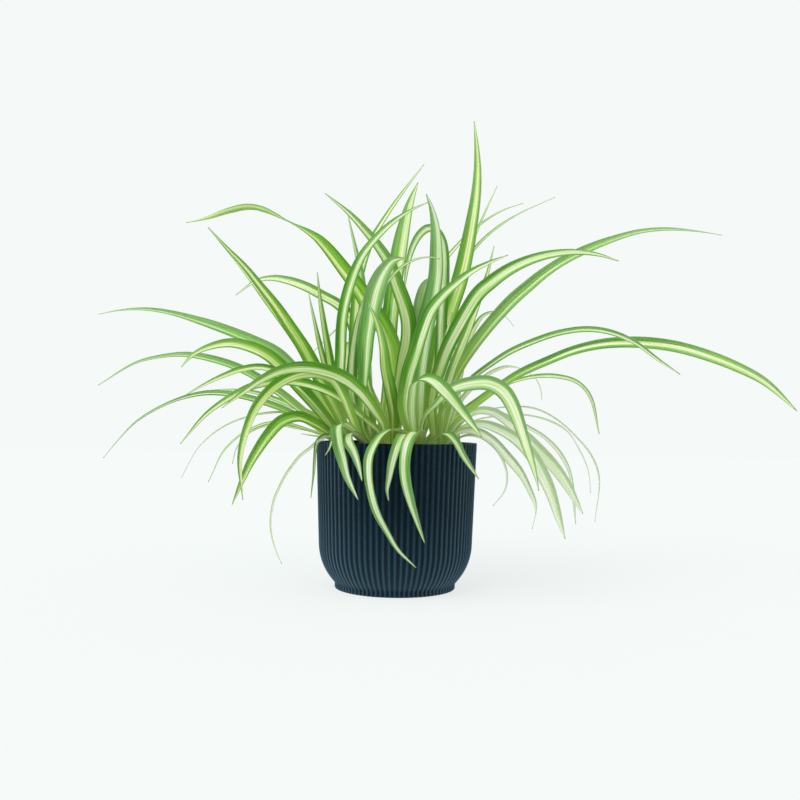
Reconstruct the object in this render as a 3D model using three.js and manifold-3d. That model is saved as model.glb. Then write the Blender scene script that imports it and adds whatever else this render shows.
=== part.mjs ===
// A potted spider plant: a clump of seven rosettes of arching, cream-striped leaves, standing in the
// soil of a round ribbed pot. Millimetres, +Z up. The origin is the middle of the pot's underside,
// the viewer stands at -Y and looks along +Y, and +X is to the viewer's right.

import * as THREE from "three";
import { mergeVertices } from "three/addons/utils/BufferGeometryUtils.js";
import Module from "manifold-3d";

const wasm = await Module();
wasm.setup();

// ---- Driving dimensions ----------------------------------------------------------------------

const RIM_RADIUS = 80; // at the crests of the ribs
const POT_HEIGHT = 145;
const BODY_TAPER = 3.6; // the body's radius shrinks by this from the rim to the shoulder
const SHOULDER_RADIUS = 56; // of the arc that tucks the body in to the foot
const SHOULDER_TURN = Math.PI / 4;
const SHOULDER_STEPS = 5;
const FOOT_HEIGHT = 5.8;
const FOOT_ROUND = 1.2;
const WALL = 5;
const FLOOR = 8;
const RIB_COUNT = 84;
const RIB_DEPTH = 1.1;

const SOIL_BELOW_RIM = 16;
const GAP = 0.3; // between pieces that touch
const SOIL_SIDES = 42;

const STOCK_RADIUS = 8; // the rootstock of a rosette
const STOCK_DEPTH = 22; // how far it stands in the soil
const STOCK_TOP = 10; // how far it stands out of the soil
const STOCK_CROWN = 0.6; // radius of its top as a share of its radius, reached from half its height
const STOCK_SIDES = 16;

const SOIL_LEVEL = POT_HEIGHT - SOIL_BELOW_RIM;
const ROOT_LEVEL = SOIL_LEVEL + 5; // where the leaves leave the rootstock
const ROOT_OFFSET = 3.5; // how far from the rootstock's axis a leaf starts

// ---- Leaf data -------------------------------------------------------------------------------

// The leaves are drawn in a front view onto the plane through the pot's axis, by an eye at this
// height and distance. The view's upright is turned a little, clockwise as the viewer sees it.
const EYE_HEIGHT = 165.5;
const EYE_DISTANCE = 930;
const VIEW_TURN = THREE.MathUtils.degToRad(0.8);

// A leaf's path holds points [x, z] in that view, with a depth y behind the axis where one is
// chosen. The depth between chosen ones follows the path's length. width is the blade's greatest
// width. turn is the angle in degrees between the blade and the view's plane, at the root and at
// the tip: at 0 the upper side faces the viewer, at 90 it faces up, at 180 it faces away. The
// higher late is, the closer to the tip the turn happens. widest and taper are the leaf's own
// values of WIDEST_AT and TAPER.
const ROSETTES = [
  {
    name: "crown_centre",
    at: [-4, 4],
    leaves: [
      // The broad pair that tops the left side, and the leaves among them
      { width: 22, turn: [5, 200], late: 3.3, taper: 2.4, path: [[0, 187], [-1, 212], [-5, 240],
        [-15, 262], [-27, 280], [-39, 299], [-50, 313], [-77, 346], [-90, 355.5], [-105, 363.5],
        [-120, 371.5], [-135, 378], [-150, 380], [-168, 376.5], [-190, 369], [-211, 364, 80]] },
      { width: 18.5, turn: [10, 36], path: [[1, 187], [4, 207], [7.5, 228], [11, 248], [11, 265],
        [7, 282], [0, 302], [-7, 322], [-19, 341], [-33, 358], [-48, 374], [-72, 394, -12]] },
      { width: 22, turn: [40, 25], widest: 0.7, taper: 6, path: [[-4, 197], [-7, 252], [-4, 287],
        [0, 319], [6, 355], [13, 384], [21, 405, 60]] },
      { width: 11, turn: [20, 45], path: [[-17, 174], [-30, 203], [-34, 240], [-35, 307],
        [-40, 332], [-46, 359], [-49.5, 376, 84]] },
      { width: 6, turn: [25, 50], path: [[-16, 172], [-29, 203], [-30, 240], [-24, 275],
        [-10, 304], [3, 319], [18, 327.5], [33, 330], [43, 328, -40]] },
      { width: 13, turn: [10, 42], path: [[-3, 172], [-7, 197], [-12, 222], [-14, 242], [-20, 265],
        [-29, 285, -104]] },
      // Guessed: a leaf that arches away behind the clump
      { width: 14, turn: [5, 5], path: [[-5, 165, 62], [-6, 178, 100], [-6, 160, 138],
        [-8, 112, 160], [-10, 60, 166]] },
    ],
  },
  {
    name: "crown_front_left",
    at: [-18, -34],
    leaves: [
      // Upright leaves in front of the clump
      { width: 14, turn: [14, 34], widest: 0.75, path: [[-44, 167], [-56, 207], [-56, 237],
        [-54, 272], [-47, 302], [-36, 329], [-23, 347], [-5, 364.5], [15, 377.5],
        [31, 385, -52]] },
      { width: 24, turn: [75, 2], late: 2, taper: 7, path: [[-34, 160], [-33, 187], [-31, 220],
        [-29, 252], [-25, 277], [-20, 299], [-12.5, 316.5], [-4, 326.5], [7, 329, -60]] },
      { width: 12, turn: [14, 42], path: [[-44, 187], [-45, 222], [-42, 250], [-38, 270],
        [-32, 289], [-27, 302, -24]] },
      // Arches to the left in front of the others
      { width: 13, turn: [15, 40], path: [[-12, 159], [-23, 179], [-37, 197], [-54, 210],
        [-75, 217.5], [-97, 220], [-117, 216.5], [-135, 208], [-162, 189], [-175, 179, -120]] },
      { width: 9, turn: [22, 40], path: [[-17, 154], [-29, 166], [-45, 180], [-63, 193],
        [-85, 202], [-109, 206], [-133, 204], [-154, 197], [-189, 174.5], [-217, 143, -90]] },
      { width: 11, turn: [10, 30], path: [[-36, 150], [-45, 171], [-53, 191], [-64, 208],
        [-81, 214.5], [-99, 213], [-117, 205], [-133, 191], [-145, 173], [-157, 130],
        [-154, 87, -135]] },
      // Over the rim and down the front
      { width: 14, turn: [137, 137], path: [[-42, 153, -50], [-55, 162, -62], [-60, 160, -70],
        [-59, 145, -76], [-55, 128, -76], [-50, 110, -78], [-39, 87, -84]] },
      { width: 12, turn: [142, 142], path: [[-34, 146, -52], [-41, 152, -60], [-48, 153, -70],
        [-49, 146, -78], [-43.5, 135, -82], [-39, 122, -84], [-35, 106, -86]] },
    ],
  },
  {
    name: "crown_front_right",
    at: [24, -32],
    leaves: [
      { width: 19, turn: [18, 40], taper: 5, path: [[22, 207], [26, 242], [30, 265], [35, 287],
        [39, 312], [39.5, 337], [38, 362], [34, 380], [29, 393, -30]] },
      { width: 15, turn: [10, 46], taper: 2.6, path: [[7, 177], [10, 207], [18.5, 235],
        [25.5, 257], [33, 276], [45, 291], [59, 304], [75, 316], [93, 325], [111, 332, -112]] },
      // Rises with its underside to the viewer and folds over
      { width: 15, turn: [140, 125], taper: 5, path: [[16.5, 172, -46], [17, 192, -56],
        [19, 204, -64], [27, 208.5, -74], [37, 206, -84], [49, 195, -93], [61, 181, -100],
        [85, 150, -110]] },
      { width: 15, turn: [100, 0], taper: 4.5, path: [[27, 167], [40, 183], [55, 197], [73, 202.5],
        [91, 203.5], [105, 197], [114, 185], [127, 150], [139, 110], [141.5, 96, -112]] },
      { width: 10, turn: [115, 115], path: [[42, 151, -50], [51, 153, -62], [59, 145, -70],
        [66, 132, -72], [73, 121, -70], [82, 108, -66]] },
      // Over the rim and down the front
      { width: 12, turn: [140, 130], path: [[8, 152, -52], [-4, 157, -66], [-14, 153, -77],
        [-22, 143, -87], [-27.5, 130, -89], [-28.5, 114, -90], [-26, 95, -91],
        [-20, 74, -91], [-10, 55, -90], [1, 37, -88], [19, 19, -84]] },
      { width: 11, turn: [145, 135], path: [[12, 151, -60], [5, 151, -77], [0, 141, -87],
        [-5, 125, -91], [-8, 109, -91], [-10, 97, -91], [-8.5, 86, -89]] },
      { width: 13, turn: [180, 186], path: [[24, 152, -58], [18, 154, -76], [11, 143, -91],
        [8, 124, -96], [9, 107, -98], [13.5, 87, -98], [20, 66, -96], [27.5, 44, -93]] },
    ],
  },
  {
    name: "crown_left",
    at: [-42, 4],
    leaves: [
      { width: 16.5, turn: [10, 30], widest: 0.45, taper: 2, path: [[-57, 169], [-70, 195],
        [-82, 218], [-94, 240], [-107, 260], [-120.5, 280], [-136, 300], [-152, 320], [-171, 340],
        [-189, 360, -56]] },
      { width: 20, turn: [15, 38], taper: 1.8, path: [[-64, 167], [-82, 191], [-102, 214],
        [-122, 233.5], [-145, 246], [-169, 256], [-197, 266], [-225, 274], [-252, 278],
        [-277, 277], [-298, 273, 130]] },
      { width: 16, turn: [20, 42], path: [[-77, 176], [-95, 197], [-113, 217], [-129, 231.5],
        [-147, 240], [-167, 244], [-187, 240.5], [-204, 232.5], [-216, 220, -50]] },
      { width: 12, turn: [34, 42], taper: 2.4, path: [[-77, 162], [-97, 178], [-117, 194],
        [-139, 209], [-162, 220.5], [-187, 228.5], [-212, 232.5], [-237, 230.5], [-262, 224],
        [-299, 202, 60]] },
      { width: 9, turn: [38, 54], path: [[-75, 175], [-95, 197], [-115, 213], [-135, 220],
        [-155, 218], [-175, 211], [-194, 202], [-211, 192.5, -76]] },
      { width: 13, turn: [40, 28], widest: 0.6, path: [[-71, 157], [-84, 165], [-99, 170.5],
        [-115, 166], [-129, 152], [-140, 136], [-149, 120], [-165, 82, -62]] },
      { width: 9, turn: [30, 40], taper: 2.4, path: [[-75, 156], [-91, 166], [-112, 177],
        [-137, 186], [-162, 192], [-189, 194], [-215, 189], [-240, 178.5], [-262, 164.5],
        [-280, 146], [-294, 129, 100]] },
      { width: 8, turn: [30, 40], path: [[-82, 170], [-102, 180], [-122, 188], [-142, 194.5],
        [-162, 197], [-182, 197], [-199, 195, 150]] },
      { width: 10, turn: [25, 42], path: [[-55, 172], [-63, 202], [-68.5, 235], [-73, 262],
        [-77, 289], [-79.5, 315, 34]] },
      { width: 8, turn: [25, 42], path: [[-56, 167], [-65, 195], [-72, 221], [-77, 241],
        [-85, 278], [-88, 293, -20]] },
      // Thin leaves that hang at the left
      { width: 2.6, turn: [30, 48], path: [[-70, 158], [-92, 168], [-112, 174.5], [-135, 173.5],
        [-154, 169], [-170, 162.5], [-186, 152], [-200, 138], [-216, 109, 70]] },
      { width: 2.8, turn: [30, 48], path: [[-70, 152], [-85, 156], [-100, 161], [-117, 165],
        [-132, 163.5], [-154, 154], [-165, 145.5], [-175, 134], [-189, 105, -8]] },
      { width: 2.2, turn: [30, 48], path: [[-80, 154], [-105, 160], [-122, 162.5],
        [-139, 159], [-152, 151], [-161, 138], [-165, 123, 18]] },
      { width: 3, turn: [40, 50], path: [[-68, 149], [-78, 150.5], [-96, 153.5, 60]] },
      { width: 2.4, turn: [60, 40], path: [[-60, 152, -26], [-70, 150, -36], [-79, 146, -40],
        [-87, 139, -42], [-97, 131, -42], [-105, 121], [-112, 111], [-118, 99], [-123, 87],
        [-126.5, 62], [-122, 39], [-115, 23, -46]] },
      { width: 5, turn: [30, 20], path: [[-62, 149, -8], [-73, 151, -14], [-80.5, 144, -18],
        [-82.5, 127, -20], [-83.5, 112, -20], [-86, 89, -20]] },
      { width: 5, turn: [130, 130], path: [[-52, 150, -32], [-59, 151, -48], [-65, 146, -58],
        [-68, 138, -60], [-72, 131.5, -58]] },
    ],
  },
  {
    name: "crown_right",
    at: [42, 6],
    leaves: [
      // Long arching leaves
      { width: 16, turn: [10, 30], path: [[49, 187], [60, 215], [85, 252], [114, 285],
        [131, 300], [148, 314], [168, 327], [193, 339], [218, 348.5], [243, 355.5],
        [271, 358], [303, 355.5], [325, 352, 150]] },
      { width: 18, turn: [15, 52], widest: 0.65, path: [[35, 187], [43, 217], [50, 237], [60, 257],
        [81, 292.5], [95, 305], [112, 317], [132, 326.5], [153, 332.5], [178, 335], [201, 332.5],
        [222, 326, -60]] },
      { width: 10.5, turn: [40, 20], widest: 0.8, taper: 9, path: [[55, 160], [69, 173.5],
        [85, 187], [103, 201], [123, 213.5], [148, 225], [178, 237], [208, 243.5], [243, 244.5],
        [278, 240.5], [308, 232.5], [338, 221], [368, 205], [400, 176, -120]] },
      { width: 5, turn: [15, 32], taper: 8, path: [[43, 174], [58, 192], [75, 209], [93, 222.5],
        [113, 235.5], [138, 246.5], [163, 254.5], [191, 258], [215, 254.5], [238, 244.5],
        [261, 227.5], [283, 212.5, -165]] },
      { width: 11, turn: [18, 38], path: [[47, 187], [55, 217], [63, 237], [71, 257],
        [79, 279], [85, 297], [90, 312], [97, 341, 80]] },
      { width: 8, turn: [10, 20], path: [[59, 197], [68, 235], [77, 259], [87, 272],
        [97, 275], [108, 271], [117, 261, 120]] },
      { width: 9, turn: [28, 44], path: [[37, 187], [42, 222], [49, 252], [55, 275, 24]] },
      // The pale cluster that hangs at the right
      { width: 13, turn: [85, 5], widest: 0.8, taper: 7, path: [[63, 157], [83, 163], [103, 157],
        [120, 147], [133, 134], [144, 116], [153, 97], [168, 48, -80]] },
      { width: 14, turn: [78, 5], widest: 0.7, taper: 6, path: [[61, 163], [79, 175], [95, 174.5],
        [113, 163], [129, 149], [144, 134], [158, 119], [170, 102], [186, 73, -18]] },
      { width: 8.5, turn: [75, 5], widest: 0.7, taper: 5, path: [[68, 167], [88, 175], [108, 172],
        [128, 161], [148, 149], [163, 133], [173, 113], [179, 63, 60]] },
      { width: 10, turn: [82, 5], widest: 0.72, taper: 5, path: [[61, 154, -12], [78, 156, -30],
        [95, 147, -44], [111, 130, -54], [124, 114], [133, 97], [139, 79], [135, 58, -110]] },
      { width: 2.2, turn: [40, 40], path: [[66, 151, -4], [83, 150, -12], [96, 141], [105, 129],
        [110, 112], [108, 97], [96, 81, -30]] },
      { width: 7.5, turn: [86, 0], widest: 0.8, taper: 7, path: [[69, 167], [88, 176], [113, 180],
        [138, 178], [160, 167], [180, 149], [195, 130], [202, 109], [198, 65, 130]] },
      { width: 4, turn: [80, 10], widest: 0.7, path: [[73, 164], [101, 171], [128, 172], [153, 166],
        [171, 155], [182, 138], [191, 118], [194, 94, 92]] },
      { width: 6.5, turn: [84, 0], widest: 0.8, taper: 7, path: [[65, 169], [88, 191], [113, 204],
        [138, 210.5], [161, 210.5], [180, 205], [193, 191], [202.5, 153, 60]] },
      { width: 6, turn: [15, 32], path: [[61, 182], [78, 202], [95, 215], [111, 220.5],
        [127, 217], [139, 208], [144, 197], [145, 187, 120]] },
    ],
  },
  {
    name: "crown_back_left",
    at: [-22, 42],
    leaves: [
      { width: 14, turn: [15, 30], taper: 2.2, path: [[-41, 207], [-42, 267], [-37, 312],
        [-25, 347], [-9, 374], [8, 398], [27, 423, 100]] },
      { width: 13, turn: [5, 10], taper: 6, path: [[-33, 197], [-39, 242], [-48, 271],
        [-59, 282.5], [-75, 291.5], [-92, 300.5], [-109, 306.5], [-125, 309], [-141, 306],
        [-161.5, 292, 150]] },
      { width: 9, turn: [30, 40], path: [[-33, 197], [-34, 240], [-33, 262], [-36, 273],
        [-44, 272], [-55, 263], [-66, 252.5], [-84, 235, 140]] },
      { width: 9, turn: [30, 40], path: [[-31, 187], [-36, 211], [-43, 220], [-52, 217],
        [-60, 209, 66]] },
      // Guessed: leaves hidden behind like ones in front, which fill out the back
      { width: 12, turn: [30, 50], path: [[-44, 167], [-70, 195], [-98, 241], [-129, 284],
        [-160, 325], [-178, 346, 190]] },
      { width: 12, turn: [36, 60], path: [[-58, 167], [-102, 214], [-145, 247], [-197, 267],
        [-235, 276], [-264, 279, 190]] },
      { width: 15, turn: [30, 60], path: [[-11, 207], [-10, 240], [-17, 262], [-27, 280], [-50, 313],
        [-77, 346], [-105, 363.5], [-150, 378], [-200, 367, 190]] },
      // Guessed: leaves that arch away behind the clump
      { width: 18, turn: [12, 12], path: [[-30, 190, 66], [-38, 232, 100], [-44, 244, 142],
        [-50, 215, 190], [-54, 160, 226]] },
      { width: 16, turn: [2, 2], path: [[-36, 200, 76], [-38, 246, 112], [-36, 256, 162],
        [-30, 234, 212], [-24, 188, 248]] },
      { width: 14, turn: [20, 20], path: [[-44, 168, 72], [-54, 178, 106], [-60, 158, 140],
        [-60, 114, 162], [-56, 68, 168]] },
      { width: 15, turn: [8, 8], path: [[-26, 166, 86], [-30, 182, 124], [-34, 164, 166],
        [-36, 118, 196], [-36, 60, 206]] },
    ],
  },
  {
    name: "crown_back_right",
    at: [20, 40],
    leaves: [
      // The tallest leaf
      { width: 20, turn: [8, 30], taper: 3.2, path: [[33, 197], [41.5, 242], [53, 277], [63, 307],
        [70, 337], [75, 365], [79, 392], [80.5, 417], [79.5, 442], [77, 466, 70]] },
      // Arches over and comes down behind its neighbours
      { width: 11.5, turn: [10, 10], taper: 5, path: [[41, 217], [45, 277], [47, 312], [47, 333],
        [44.5, 347], [39, 356], [32, 359], [24, 354], [16.5, 342], [10.5, 322], [7, 295, 44]] },
      { width: 20, turn: [20, 20], taper: 8, path: [[22, 207], [23, 257], [24.5, 287], [29, 304],
        [37, 310, 64]] },
      { width: 8, turn: [28, 48], path: [[45, 237], [55, 282], [66, 319], [76, 347],
        [85, 368], [93, 386], [100, 401, 150]] },
      { width: 8, turn: [28, 48], path: [[19, 197], [25, 247], [34, 292], [45, 322],
        [59, 340], [73, 354.5], [89, 367], [106, 377], [126, 384, 84]] },
      { width: 8, turn: [30, 48], path: [[39, 197], [47, 252], [56, 296], [67, 323.5], [83, 344.5],
        [100, 359.5], [123, 374], [140, 382], [158, 390, 190]] },
      { width: 7, turn: [28, 44], path: [[22, 187], [22, 217], [20, 237], [16, 250],
        [11, 261, 46]] },
      { width: 9, turn: [28, 44], path: [[30, 187], [34, 225], [41, 257], [50, 287, 96]] },
      // Guessed: leaves hidden behind like ones in front, which fill out the back
      { width: 14, turn: [30, 45], path: [[33, 197, 78], [41.5, 242], [53, 277], [63, 307],
        [70, 337], [75, 365], [79, 420, 150]] },
      { width: 14, turn: [30, 58], path: [[43, 217, 84], [59, 257], [94, 307], [131, 328.5],
        [178, 336], [215, 329, 170]] },
      { width: 10, turn: [36, 60], path: [[52, 165, 62], [85, 189], [123, 214], [178, 237],
        [243, 244.5], [290, 238], [328, 225, 120]] },
      // Guessed: leaves that arch away behind the clump
      { width: 18, turn: [4, 4], path: [[17, 200, 80], [19, 250, 118], [17, 264, 168],
        [13, 242, 218], [9, 186, 258]] },
      { width: 16, turn: [14, 14], path: [[34, 190, 72], [44, 230, 106], [54, 238, 150],
        [60, 204, 196], [62, 150, 226]] },
      { width: 14, turn: [10, 10], path: [[30, 166, 80], [38, 182, 116], [44, 166, 156],
        [47, 120, 184], [46, 64, 192]] },
      { width: 14, turn: [20, 20], path: [[44, 158, 72], [54, 163, 98], [58, 150, 122],
        [58, 112, 140], [55, 66, 148]] },
    ],
  },
];

// ---- Leaf rules ------------------------------------------------------------------------------

const STATIONS = 48; // steps along a leaf at which its blade is worked out
const RINGS = 12; // steps along its solid
const FEW_RINGS = 8; // along a leaf whose path has fewer than MANY_POINTS points
const MANY_POINTS = 6;
const BASE_SHARE = 0.32; // width at the root as a share of the greatest width
const WIDEST_AT = 0.5; // share of the length; a leaf may state its own
const TAPER = 3; // the higher, the longer a blade keeps its width; a leaf may state its own
const TIP_WIDTH = 0.5;
const BASE_THICKNESS = 1.5; // of a broad blade
const TIP_THICKNESS = 0.8;
const THICKENING = 0.1; // the root's extra thickness as a share of the width, on a narrow blade
const BASE_CHANNEL = 0.45; // rise of the edges above the midrib, as a share of the half width
const TIP_CHANNEL = 0.1;

const CLEARANCE = 5; // between blades of different rosettes
const CLEARANCE_WITHIN = 3; // between blades of one rosette
const NECK_HEIGHT = 45; // blades of one rosette may touch up to this height above the soil
const POT_CLEARANCE = 1.5;
const WALL_PENALTY = 10; // for a sample in the pot's wall; one near its own rosette costs 1
const CROSSING_PENALTY = 3; // for a sample near another rosette
const LEAN_STEP = 4;
const LEAN_TRIES = 25;

// Turns a point of the front view, at a depth y behind the pot's axis, into a place in space.
function placeInSpace([x, z], y) {
  const drop = EYE_HEIGHT - z;
  const across = x * Math.cos(VIEW_TURN) + drop * Math.sin(VIEW_TURN);
  const down = drop * Math.cos(VIEW_TURN) - x * Math.sin(VIEW_TURN);
  const spread = 1 + y / EYE_DISTANCE;
  return new THREE.Vector3(across * spread, y, EYE_HEIGHT - down * spread);
}

// The midrib's control points: the root on the rootstock, then the path. Depths that the path
// leaves open follow its length, and the lean moves the leaf back or forward, most at its tip.
function controlPoints(leaf, [crownX, crownY], lean) {
  const view = [[crownX, ROOT_LEVEL], ...leaf.path];
  const along = [0];
  for (let i = 1; i < view.length; i++) {
    along.push(along[i - 1] + Math.hypot(view[i][0] - view[i - 1][0], view[i][1] - view[i - 1][1]));
  }
  const known = view.map((point, i) => (i === 0 ? crownY : point[2]));
  const depthAt = (i) => {
    if (known[i] !== undefined) return known[i];
    let before = i;
    let after = i;
    while (known[before] === undefined) before--;
    while (known[after] === undefined) after++;
    const share = (along[i] - along[before]) / (along[after] - along[before]);
    return known[before] + share * (known[after] - known[before]);
  };
  const total = along[along.length - 1];
  const points = view.map((point, i) => {
    return placeInSpace(point, depthAt(i) + lean * Math.sqrt(along[i] / total));
  });
  const heading = new THREE.Vector3(points[1].x - crownX, points[1].y - crownY, 0);
  heading.setLength(ROOT_OFFSET);
  points[0].set(crownX + heading.x, crownY + heading.y, ROOT_LEVEL);
  return points;
}

// The blade at each station: the midrib's centre, the direction across, the upper side's normal,
// the half width, the thickness and the rise of the edges. The direction that lies flat in the
// view at the root is carried along the midrib without twist, and the turn is added to it.
function bladeStations(leaf, at, lean) {
  const points = controlPoints(leaf, at, lean);
  const curve = new THREE.CatmullRomCurve3(points, false, "centripetal");
  const centres = curve.getSpacedPoints(STATIONS);
  const side = Math.sign(leaf.path[leaf.path.length - 1][0] - at[0]) || 1;
  const tangents = centres.map((centre, i) => {
    const before = centres[Math.max(i - 1, 0)];
    const after = centres[Math.min(i + 1, STATIONS)];
    return after.clone().sub(before).normalize();
  });
  const [rootTurn, tipTurn] = leaf.turn.map(THREE.MathUtils.degToRad);
  let flat = new THREE.Vector3(-tangents[0].z, 0, tangents[0].x);
  return centres.map((centre, i) => {
    const share = i / STATIONS;
    const tangent = tangents[i];
    flat = flat.clone().addScaledVector(tangent, -flat.dot(tangent)).normalize();
    const turn = THREE.MathUtils.lerp(rootTurn, tipTurn, share ** (leaf.late ?? 1));
    const across = flat.clone().applyAxisAngle(tangent, -side * turn);
    const upper = tangent.clone().cross(across);
    const rise = Math.sin((Math.min(share / (leaf.widest ?? WIDEST_AT), 1) * Math.PI) / 2);
    const taper = 1 - share ** (leaf.taper ?? TAPER);
    const width = leaf.width * (BASE_SHARE + (1 - BASE_SHARE) * rise) * taper + TIP_WIDTH;
    const baseThickness = Math.min(BASE_THICKNESS, TIP_THICKNESS + THICKENING * leaf.width);
    const channel = THREE.MathUtils.lerp(BASE_CHANNEL, TIP_CHANNEL, Math.sqrt(share));
    return {
      centre,
      across,
      upper,
      half: width / 2,
      thickness: THREE.MathUtils.lerp(baseThickness, TIP_THICKNESS, share),
      rise: (channel * width) / 2,
    };
  });
}

// Five points across the blade at each station.
function bladeSamples(stations) {
  return stations.flatMap((s) =>
    [-1, -0.5, 0, 0.5, 1].map((share) =>
      s.centre
        .clone()
        .addScaledVector(s.across, share * s.half)
        .addScaledVector(s.upper, Math.abs(share) * s.rise),
    ),
  );
}

// How many of a blade's samples are too close to the pot's wall or to the blades placed before.
function countHits(samples, crownName, placed) {
  const inWall = (p) => {
    const radius = Math.hypot(p.x, p.y);
    const inner = RIM_RADIUS - WALL - POT_CLEARANCE;
    const outer = RIM_RADIUS + POT_CLEARANCE;
    return p.z < POT_HEIGHT + POT_CLEARANCE && radius > inner && radius < outer;
  };
  let hits = WALL_PENALTY * samples.filter(inWall).length;
  const box = new THREE.Box3().setFromPoints(samples).expandByScalar(CLEARANCE);
  for (const other of placed) {
    if (!box.intersectsBox(other.box)) continue;
    const within = other.crownName === crownName;
    const near = within ? CLEARANCE_WITHIN : CLEARANCE;
    const lowest = within ? SOIL_LEVEL + NECK_HEIGHT : 0;
    const close = other.samples.filter((q) => q.z > lowest && box.containsPoint(q));
    for (const p of samples) {
      if (p.z < lowest) continue;
      if (!close.some((q) => p.distanceToSquared(q) < near * near)) continue;
      hits += within ? 1 : CROSSING_PENALTY;
    }
  }
  return hits;
}

// Leans a leaf by as little as brings it clear of the pot and of the leaves placed before it.
function placeLeaf(leaf, rosette, placed) {
  let best = null;
  for (let attempt = 0; attempt < LEAN_TRIES && best?.hits !== 0; attempt++) {
    const direction = attempt % 2 ? 1 : -1;
    const lean = direction * Math.ceil(attempt / 2) * LEAN_STEP;
    const stations = bladeStations(leaf, rosette.at, lean);
    const samples = bladeSamples(stations);
    const hits = countHits(samples, rosette.name, placed);
    if (!best || hits < best.hits) best = { hits, stations, samples };
  }
  const box = new THREE.Box3().setFromPoints(best.samples);
  placed.push({ crownName: rosette.name, samples: best.samples, box });
  return best.stations;
}

// ---- Solids ----------------------------------------------------------------------------------

// A closed three.js geometry as a manifold-3d solid.
function solidOf(geometry) {
  const bare = geometry.clone();
  bare.deleteAttribute("normal");
  bare.deleteAttribute("uv");
  const merged = mergeVertices(bare, 1e-4);
  return new wasm.Manifold(
    new wasm.Mesh({
      numProp: 3,
      vertProperties: merged.attributes.position.array,
      triVerts: new Uint32Array(merged.index.array),
    }),
  );
}

// A manifold-3d solid as a named three.js mesh.
function meshOf(name, solid, material) {
  const result = solid.getMesh();
  const geometry = new THREE.BufferGeometry();
  geometry.setAttribute("position", new THREE.BufferAttribute(result.vertProperties, 3));
  geometry.setIndex(new THREE.BufferAttribute(result.triVerts, 1));
  geometry.computeVertexNormals();
  const mesh = new THREE.Mesh(geometry, material);
  mesh.name = name;
  return mesh;
}

// A solid of revolution about +Z from a profile of [radius, height] that starts and ends on the
// axis and runs upward along its outside.
function turned(profile, sides) {
  const points = profile.map(([radius, height]) => new THREE.Vector2(radius, height));
  return new THREE.LatheGeometry(points, sides).rotateX(Math.PI / 2);
}

// Joins rings of equally many points into a closed skin, with a fan at each end.
function skinOf(rings, startPoint, endPoint) {
  const count = rings[0].length;
  const positions = [...rings.flat(), startPoint, endPoint].flatMap((p) => [p.x, p.y, p.z]);
  const index = [];
  const start = rings.length * count;
  for (let k = 0; k < count; k++) {
    const next = (k + 1) % count;
    index.push(start, next, k);
    for (let i = 0; i + 1 < rings.length; i++) {
      const near = i * count;
      const far = near + count;
      // Every quad is split from an odd corner of the near ring to an even corner of the far one,
      // so that the upper and the lower face of a blade fold alike.
      if (k % 2) index.push(near + k, near + next, far + next, near + k, far + next, far + k);
      else index.push(near + k, near + next, far + k, near + next, far + next, far + k);
    }
    const last = (rings.length - 1) * count;
    index.push(start + 1, last + k, last + next);
  }
  const geometry = new THREE.BufferGeometry();
  geometry.setAttribute("position", new THREE.Float32BufferAttribute(positions, 3));
  geometry.setIndex(index);
  return geometry;
}

// The outer profile of the pot at the crests of its ribs, from the underside to the rim.
function potProfile() {
  const bodyRadius = RIM_RADIUS - BODY_TAPER;
  const footRadius = bodyRadius - SHOULDER_RADIUS * (1 - Math.cos(SHOULDER_TURN));
  const shoulderTop = FOOT_HEIGHT + SHOULDER_RADIUS * Math.sin(SHOULDER_TURN);
  const profile = [
    [footRadius - FOOT_ROUND, 0],
    [footRadius, FOOT_ROUND],
    [footRadius, FOOT_HEIGHT],
  ];
  for (let i = 1; i <= SHOULDER_STEPS; i++) {
    const angle = SHOULDER_TURN * (1 - i / SHOULDER_STEPS);
    profile.push([
      bodyRadius - SHOULDER_RADIUS * (1 - Math.cos(angle)),
      shoulderTop - SHOULDER_RADIUS * Math.sin(angle),
    ]);
  }
  profile.push([RIM_RADIUS, POT_HEIGHT]);
  return profile;
}

// The cavity of the pot, shrunk by an allowance, up to a level.
function cavity(allowance, level) {
  const bodyRadius = RIM_RADIUS - BODY_TAPER - WALL;
  const bend = SHOULDER_RADIUS - WALL;
  const shoulderTop = FOOT_HEIGHT + SHOULDER_RADIUS * Math.sin(SHOULDER_TURN);
  const profile = [[0, FLOOR + allowance]];
  for (let i = 0; i <= SHOULDER_STEPS; i++) {
    const angle = SHOULDER_TURN * (1 - i / SHOULDER_STEPS);
    const height = shoulderTop - bend * Math.sin(angle);
    const radius = bodyRadius - bend * (1 - Math.cos(angle));
    if (i === 0) profile.push([radius - allowance, FLOOR + allowance]);
    profile.push([radius - allowance, height]);
  }
  const share = (level - shoulderTop) / (POT_HEIGHT - shoulderTop);
  profile.push([bodyRadius + BODY_TAPER * share - allowance, level], [0, level]);
  return solidOf(turned(profile, SOIL_SIDES));
}

function makePot() {
  const rings = potProfile().map(([radius, height]) =>
    Array.from({ length: 2 * RIB_COUNT }, (_, i) => {
      const angle = (i * Math.PI) / RIB_COUNT;
      const reach = radius - (i % 2 ? RIB_DEPTH : 0);
      return new THREE.Vector3(reach * Math.cos(angle), reach * Math.sin(angle), height);
    }),
  );
  const base = new THREE.Vector3(0, 0, 0);
  const top = new THREE.Vector3(0, 0, POT_HEIGHT);
  const outside = solidOf(skinOf(rings, base, top));
  return outside.subtract(cavity(0, POT_HEIGHT + 1));
}

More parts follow.
